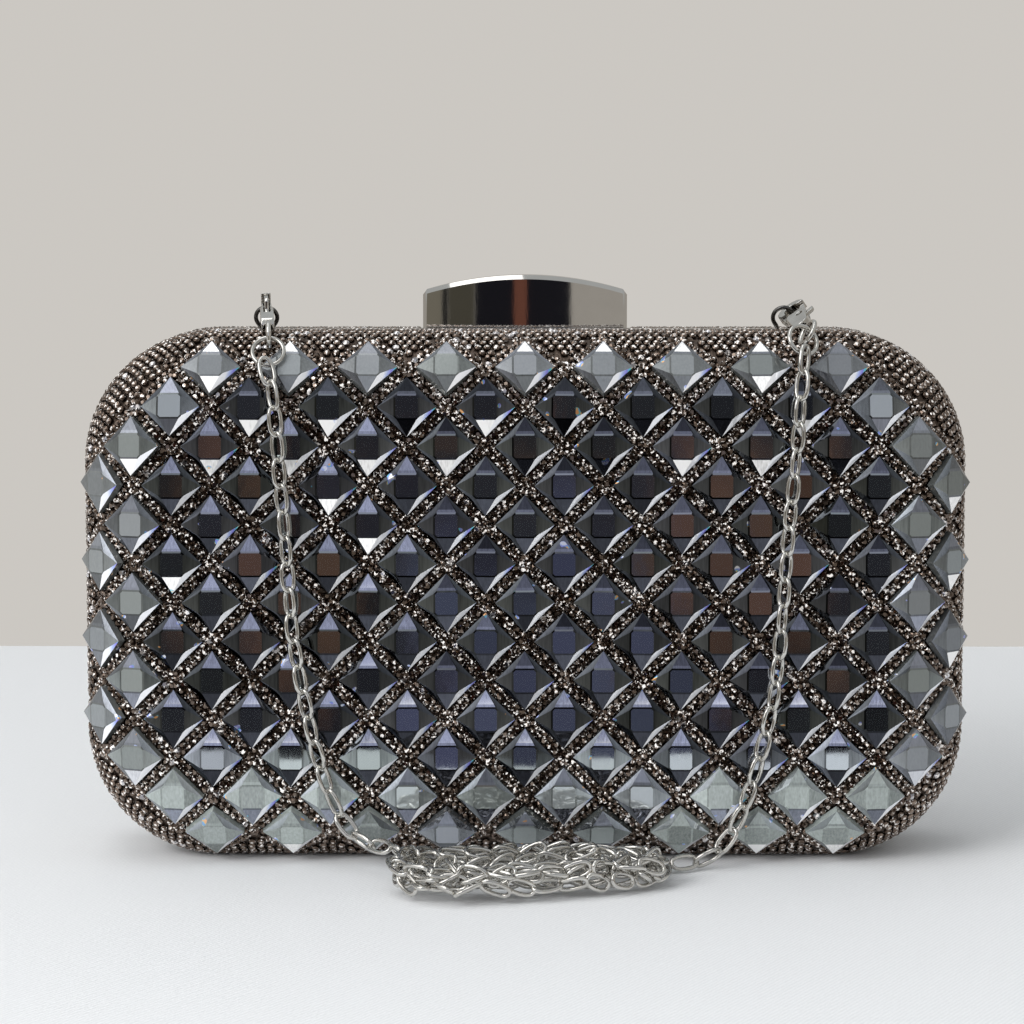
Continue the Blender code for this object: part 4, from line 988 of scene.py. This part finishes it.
def crisp_edges(mesh, limit):
    """Keeps the shading smooth round gentle bends and sharp at real edges."""
    bm = bmesh.new()
    bm.from_mesh(mesh)
    for edge in bm.edges:
        edge.smooth = edge.calc_face_angle(math.pi) < limit
    bm.to_mesh(mesh)
    bm.free()


# The chain

def hank_point(turns):
    """A point of the heap, by turns along its wandering loops from the right end, round the front first."""
    slack = HANK_SLACK + HANK_SWING * math.sin(1.9 * turns)
    shift = slack * Vector((math.cos(2.4 * turns), 0.8 * math.sin(2.4 * turns)))
    left_radius, right_radius = HANK_LEFT_RADIUS - slack, HANK_RIGHT_RADIUS - 0.8 * slack
    left, right = HANK_LEFT + shift, HANK_RIGHT + shift
    axis = right - left
    taper = math.asin((left_radius - right_radius) / axis.length)
    straight = axis.length * math.cos(taper)
    axis.normalize()
    side = Vector((axis.y, -axis.x))
    # the loop's two halves mirror each other: an arc at the right end, a straight and an arc at the left end
    touch = math.pi / 2 - taper
    right_arc, left_arc = touch * right_radius, (math.pi - touch) * left_radius
    half = right_arc + straight + left_arc
    run = (turns % 1) * 2 * half
    if run > half:
        run, side = 2 * half - run, -side

    def arc(centre, radius, angle):
        return centre + radius * (axis * math.cos(angle) + side * math.sin(angle))

    if run < right_arc:
        spot = arc(right, right_radius, run / right_radius)
    elif run < right_arc + straight:
        share = (run - right_arc) / straight
        spot = arc(right, right_radius, touch).lerp(arc(left, left_radius, touch), share)
    else:
        spot = arc(left, left_radius, touch + (run - right_arc - straight) / left_radius)
    height = HANK_BASE + HANK_LAYER * turns / HANK_TURNS + HANK_RIPPLE * math.sin(5.1 * turns)
    return Vector((spot.x, spot.y, height))


def through(points, step):
    """A smooth line through points, in even steps."""
    ends = [2 * points[0] - points[1]] + points + [2 * points[-1] - points[-2]]
    parts = 10
    fine = []
    for before, start, stop, after in zip(ends, ends[1:], ends[2:], ends[3:]):
        for t in (part / parts for part in range(parts)):
            bend = 2 * before - 5 * start + 4 * stop - after
            twist = 3 * start - before - 3 * stop + after
            fine.append(0.5 * (2 * start + (stop - before) * t + bend * t * t + twist * t ** 3))
    fine.append(points[-1])
    length = line_length(fine)
    count = round(length / step)
    even, passed = [fine[0]], 0.0
    for a, b in zip(fine, fine[1:]):
        piece = (b - a).length
        while len(even) < count and passed + piece >= len(even) * length / count:
            even.append(a.lerp(b, (len(even) * length / count - passed) / piece))
        passed += piece
    return even + [fine[-1]]


def line_length(points):
    return sum((b - a).length for a, b in zip(points, points[1:]))


def chain_route():
    """The chain's line: down the left run, through the heap on the table and up the right run."""
    hank = [hank_point(part / HANK_POINTS) for part in range(round(HANK_TURNS * HANK_POINTS) + 1)]
    left_run, right_run = ([Vector(point) * MM for point in run] for run in (LEFT_RUN, RIGHT_RUN))
    lead_in, lead_out = (end + (end - inner).normalized() * 2 * CHAIN_DIAMETER
                         for end, inner in ((hank[-1], hank[-2]), (hank[0], hank[1])))
    line = through(left_run + [lead_in] + hank[::-1] + [lead_out] + right_run[::-1], ROUTE_STEP)
    for _ in range(4):
        line = line[:1] + [b.lerp((a + c) / 2, 0.5) for a, b, c in zip(line, line[1:], line[2:])] + line[-1:]
    return [Vector((point.x, point.y + SEAM_Y, max(point.z, CHAIN_LOWEST))) for point in line]


def link_shape():
    """One oval link of round wire."""
    bm = bmesh.new()
    wire = LINK_WIRE / 2
    round_steps, wire_steps, little = 14, 6, 0.05
    turns = [math.tau * step / wire_steps for step in range(wire_steps)]

    def middle(angle):
        """A point of the wire's middle line, an oval with fairly straight sides."""
        x, y = (math.copysign(abs(number) ** 0.8, number) for number in (math.cos(angle), math.sin(angle)))
        return Vector((x * (LINK_LENGTH / 2 - wire), y * (LINK_WIDTH / 2 - wire), 0))

    rings = []
    for step in range(round_steps):
        angle = math.tau * (step + 0.5) / round_steps
        along = (middle(angle + little) - middle(angle - little)).normalized()
        out, up = Vector((along.y, -along.x, 0)), Vector((0, 0, 1))
        rings.append([bm.verts.new(middle(angle) + wire * (out * math.cos(turn) + up * math.sin(turn)))
                      for turn in turns])
    for ring, after in around(rings):
        band(bm, ring, after)
    return mesh_of("link_shape", bm, smooth=True)


def shorten_thumb(bm, pin):
    """Brings a claw lever's thumb piece nearer to its pin."""
    spots = [vertex.co for vertex in pin.data.vertices]
    centre = sum(spots, Vector()) / len(spots)
    ahead = [spot - centre for spot in spots if (spot - centre).dot(spots[0] - centre) > 0]
    axis = sum(ahead, Vector()).normalized()
    along = max((vertex.co - centre for vertex in bm.verts), key=lambda away: away.length)
    outward = axis.cross(along).normalized()
    reaches = [(vertex.co - centre).dot(outward) for vertex in bm.verts]
    if max(reaches) < -min(reaches):
        outward = -outward
    for vertex in bm.verts:
        over = (vertex.co - centre).dot(outward) - THUMB_FROM
        if over > 0:
            vertex.co -= outward * THUMB_CUT * over


def smooth_copy(name, finish, slot, wire=False, body="front_half", pin=None):
    """A finer copy of a small metal piece of the CAD: round wire, or a casting with soft edges."""
    bm = merged_copy(name)
    if wire:
        bmesh.ops.join_triangles(bm, faces=bm.faces, angle_face_threshold=math.radians(40),
                                 angle_shape_threshold=math.radians(50))
    if pin:
        shorten_thumb(bm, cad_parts[pin])
    piece = add_piece("smooth_" + name, mesh_of("smooth_" + name, bm, smooth=True), finish)
    if wire:
        rounding = piece.modifiers.new("Rounding", "SUBSURF")
        rounding.levels = rounding.render_levels = 2
    else:
        casting = piece.modifiers.new("Casting", "REMESH")
        casting.mode = "VOXEL"
        casting.voxel_size = 0.15 * MM
        casting.use_smooth_shade = True
        softening = piece.modifiers.new("Softening", "SMOOTH")
        softening.factor = 0.5
        softening.iterations = 5
    apply_modifiers(piece)
    enter(piece, body, slot, name)
    return piece


# Making

def set_camera():
    """A long lens, a little above the bag and looking slightly down, in degrees."""
    looking_down, turned_left = 5.66, 0.236
    data = bpy.data.cameras.new("camera")
    data.sensor_width = 36
    data.lens = 110.8
    data.clip_start = 0.01
    camera = bpy.data.objects.new("camera", data)
    camera.location = (0, -0.7239, 0.150)
    camera.rotation_euler = (math.radians(90 - looking_down), 0, math.radians(turned_left))
    bpy.context.scene.collection.objects.link(camera)
    bpy.context.scene.camera = camera


def make_chain(nickel, dark_wire):
    """The chain with the claws and rings on it, and the two loops that the claws hold."""
    on_it = []
    for side in ("left", "right"):
        smooth_copy("chain_loop_" + side, dark_wire, "steel", wire=True)
        on_it += [
            smooth_copy("jump_ring_" + side, nickel, "nickel", wire=True),
            smooth_copy("claw_swivel_" + side, nickel, "nickel"),
            smooth_copy("claw_body_" + side, nickel, "nickel"),
            smooth_copy("claw_lever_" + side, nickel, "nickel", body="claw_lever_" + side,
                        pin="claw_pin_" + side),
            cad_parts["claw_pin_" + side]]
    route = chain_route()
    length = line_length(route)
    path = [tuple(point) for point in route]
    line = bpy.data.meshes.new("chain")
    line.from_pydata(path, [(k, k + 1) for k in range(len(path) - 1)], [])
    loose = [1.0 if abs(x) < HEAP_REACH and z < HEAP_TOP else 0.0 for x, _, z in path]
    line.attributes.new("loose", "FLOAT", "POINT").data.foreach_set("value", loose)
    chain = add_piece("chain", line)
    link = add_piece("one_link", link_shape(), shown=False)
    links = round(length / LINK_PITCH) + 1
    chain_linking().run(chain, Link=link, Links=links, Sway=0.2, Seed=4, Finish=nickel)
    enter(chain, "front_half", "nickel", "chain_left_run", "chain_pile", "chain_right_run")


def set_crystals(crystals, setting, glass):
    """The front's square crystals, each with its own looks."""
    shape = add_piece("one_crystal", crystal_shape(), shown=False)
    spots = [(place, out, 1.0) for place, out, _, _ in crystals]
    stones = add_piece("crystals", points_mesh("crystals", spots, **crystal_looks(crystals)))
    setting.run(stones, Stone=shape, Tilt=math.radians(0.6), Spin=0.012, Seed=10, Finish=glass)
    enter(stones, "front_half", "crystal_cover", "front_cover")


def set_small_stones(crystals, setting, glass):
    """The small stones: cut ones between the crystals, domed ones on both edges and the rear."""
    cut, domed = (add_piece(name, small_stone_shape(name, name == "one_domed_stone"), shown=False)
                  for name in ("one_small_stone", "one_domed_stone"))
    strips = clear_of_crystals(strip_spots(crystals), crystals, STRIP_GAP)
    edges = clear_of_spots(clear_of_crystals(edge_spots(-1), crystals, EDGE_GAP), strips, ROWS_APART)
    fill = filling_spots(strips + edges, crystals)
    rim = edge_spots(1)
    field = clear_of_spots(rear_spots(), rim, ROWS_APART)
    rim = [(place, out) for place, out in rim if not (
        abs(place.x) < BARE_REACH and place.z > CENTRE_Z and place.y < SEAM_Y + BARE_DEPTH)]
    for name, groups, shape, seed, half in (
            ("front_rhinestones", ((strips, STRIP_STONE), (fill, FILL_STONE)), cut, 20, "front"),
            ("front_edge_rhinestones", ((edges, EDGE_STONE),), domed, 30, "front"),
            ("rear_edge_rhinestones", ((rim, EDGE_STONE),), domed, 40, "rear"),
            ("rear_rhinestones", ((field, REAR_STONE),), domed, 50, "rear")):
        spots = [(place, out, size) for group, size in groups for place, out in group]
        piece = add_piece(name, points_mesh(name, spots))
        setting.run(piece, Stone=shape, Tilt=math.radians(9), Spin=math.pi, Seed=seed, Finish=glass)
        enter(piece, half + "_half", "rhinestone_mesh", half + "_cover")


def line_with_mesh(cups):
    """The cup mesh under both halves' stones: the rear one is open where the clasp bar stands."""
    meshes = {"front": backing("front_cup_mesh", -1), "rear": backing("rear_cup_mesh", 1)}
    opening = clasp_bar(grow=CLASP_GAP, stations=12, foot=CENTRE_Z + 40 * MM, bevel=0)
    cut_with(meshes["rear"], add_piece("clasp_opening", mesh_of("clasp_opening", opening)))
    for half, piece in meshes.items():
        dress(piece, cups)
        enter(piece, half + "_half", "rhinestone_mesh", half + "_cover")


def dress_cad(finishes):
    """Gives every kept CAD node its finish."""
    for name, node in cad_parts.items():
        for start, finish in finishes:
            if name.startswith(start):
                dress(node, finish)
                break


def make_table(cloth):
    """The table top, whose far edge lies behind the bag."""
    mesh = bpy.data.meshes.new("table")
    left, right, near, far = -0.7, 0.7, -0.165, 0.33
    corners = [(left, near, 0), (right, near, 0), (right, far, 0), (left, far, 0)]
    mesh.from_pydata(corners, [], [(0, 1, 2, 3)])
    add_piece("table", mesh, cloth)


def light_room():
    """A plain studio: pale walls and ceiling, a darker side where the camera stands, and three lamps."""
    world = bpy.data.worlds.new("room")
    bpy.context.scene.world = world
    world.use_nodes = True
    sheet = Sheet(world.node_tree)
    way = sheet.add("ShaderNodeTexCoord", out="Generated")
    x, y, z = (sheet.part(way, axis) for axis in "XYZ")
    turn = math.degrees(1) * sheet.maths("ARCTAN2", x, 0 - y)
    rise = math.degrees(1) * sheet.maths("ARCSINE", z)
    walls, ceiling, behind_bag = (0.42, 0.40, 0.37), (0.50, 0.52, 0.53), (0.60, 0.575, 0.54)
    room = sheet.blend(sheet.within(rise, 26, 200, 6), walls, ceiling)
    # each patch's colour, from and to which turn and rise it goes, and how soft its edges are, in degrees
    for colour, turns, rises, soft_turn, soft_rise in (
            ((0.52, 0.53, 0.61), (-24, 22), (9, 28), 5, 3),
            ((0.012, 0.012, 0.016), (-10.5, 9.5), (-70, 9.5), 0.5, 0.8),
            ((0.075, 0.07, 0.055), (-16, -10.5), (-70, 9.5), 0.4, 0.8),
            ((0.20, 0.185, 0.15), (-22, -17), (-6, 9.5), 0.6, 1),
            ((0.02, 0.02, 0.02), (-17.2, -16), (-6, 9.5), 0.2, 1),
            ((0.110, 0.056, 0.036), (-5.6, 5.2), (-8.2, -3.9), 0.5, 0.7),
            ((0.016, 0.015, 0.022), (-2.6, 2.4), (-7.6, -4.1), 0.5, 0.3),
            ((0.008, 0.008, 0.012), (-3.6, -2.5), (-60, -3), 0.2, 0.3),
            ((0.070, 0.074, 0.125), (-2.5, 2.8), (-12, -6.3), 0.5, 1.2),
            ((0.16, 0.065, 0.045), (-2.3, 0.4), (-3.0, 4), 0.15, 0.3),
            ((1.7, 1.7, 1.7), (-80, -42), (12, 60), 3, 3),
            ((3.6, 3.6, 3.6), (-50, -24), (25, 50), 1, 1)):
        mask = sheet.within(turn, *turns, soft_turn) * sheet.within(rise, *rises, soft_rise)
        room = sheet.blend(mask, room, colour)
    panel = sheet.within(x, -0.36, -0.012, 0.004) * sheet.within(z, 0.9, 2, 0.02)
    room = sheet.blend(panel, room, (2.2, 2.2, 2.2))
    seen = sheet.add("ShaderNodeLightPath", out="Is Camera Ray")
    colour = sheet.blend(seen, room, behind_bag)
    sheet.tree.links.new(colour.socket, world.node_tree.nodes["Background"].inputs["Color"])
    for name, place, size, power in (
            ("key", (-0.8, -0.95, 0.55), 0.7, 13),
            ("fill", (0.3, -1.15, 0.4), 1.0, 3),
            ("back", (-0.5, 1.2, 1.2), 1.0, 1)):
        lamp = bpy.data.lights.new(name, "AREA")
        lamp.size = size
        lamp.energy = power
        light = bpy.data.objects.new(name, lamp)
        light.location = place
        light.rotation_euler = (Vector((0, 0, 0.05)) - Vector(place)).to_track_quat("-Z", "Y").to_euler()
        light.visible_glossy = False
        bpy.context.scene.collection.objects.link(light)


bpy.context.scene.view_settings.view_transform = "Standard"
set_camera()

nickel = polished_metal("polished_nickel", (0.86, 0.845, 0.80), (0.38, 0.365, 0.34), 0.06, 0.12)
dark_wire = polished_metal("dark_nickel_wire", (0.16, 0.155, 0.15), (0.09, 0.088, 0.085), 0.14, 0.12)
dark_chrome = polished_metal("dark_chrome", (0.66, 0.64, 0.61), (0.60, 0.58, 0.55), 0.035, 0.05)
frame_silver = polished_metal("plated_frame", (0.72, 0.70, 0.66), (0.5, 0.48, 0.45), 0.16, 0.18)
spring_steel = polished_metal("spring_steel", (0.52, 0.52, 0.53), (0.36, 0.36, 0.37), 0.25, 0.2)

make_chain(nickel, dark_wire)
crystals, setting = crystal_spots(), stone_setting()
set_crystals(crystals, setting, crystal_glass())
set_small_stones(crystals, setting, small_stone_glass())
line_with_mesh(mesh_backing())
make_clasp(dark_chrome)
make_latch_spring(spring_steel)
dress_cad([
    ("chain_loop", dark_wire), ("claw", nickel), ("jump_ring", nickel),
    ("front_frame", frame_silver), ("rear_frame", frame_silver),
    ("strike", spring_steel), ("latch", spring_steel), ("hinge", spring_steel),
    ("front_shell", moulded_plastic()), ("rear_shell", moulded_plastic()),
    ("front_lining", satin_lining()), ("rear_lining", satin_lining()),
])
make_table(table_cloth())
light_room()
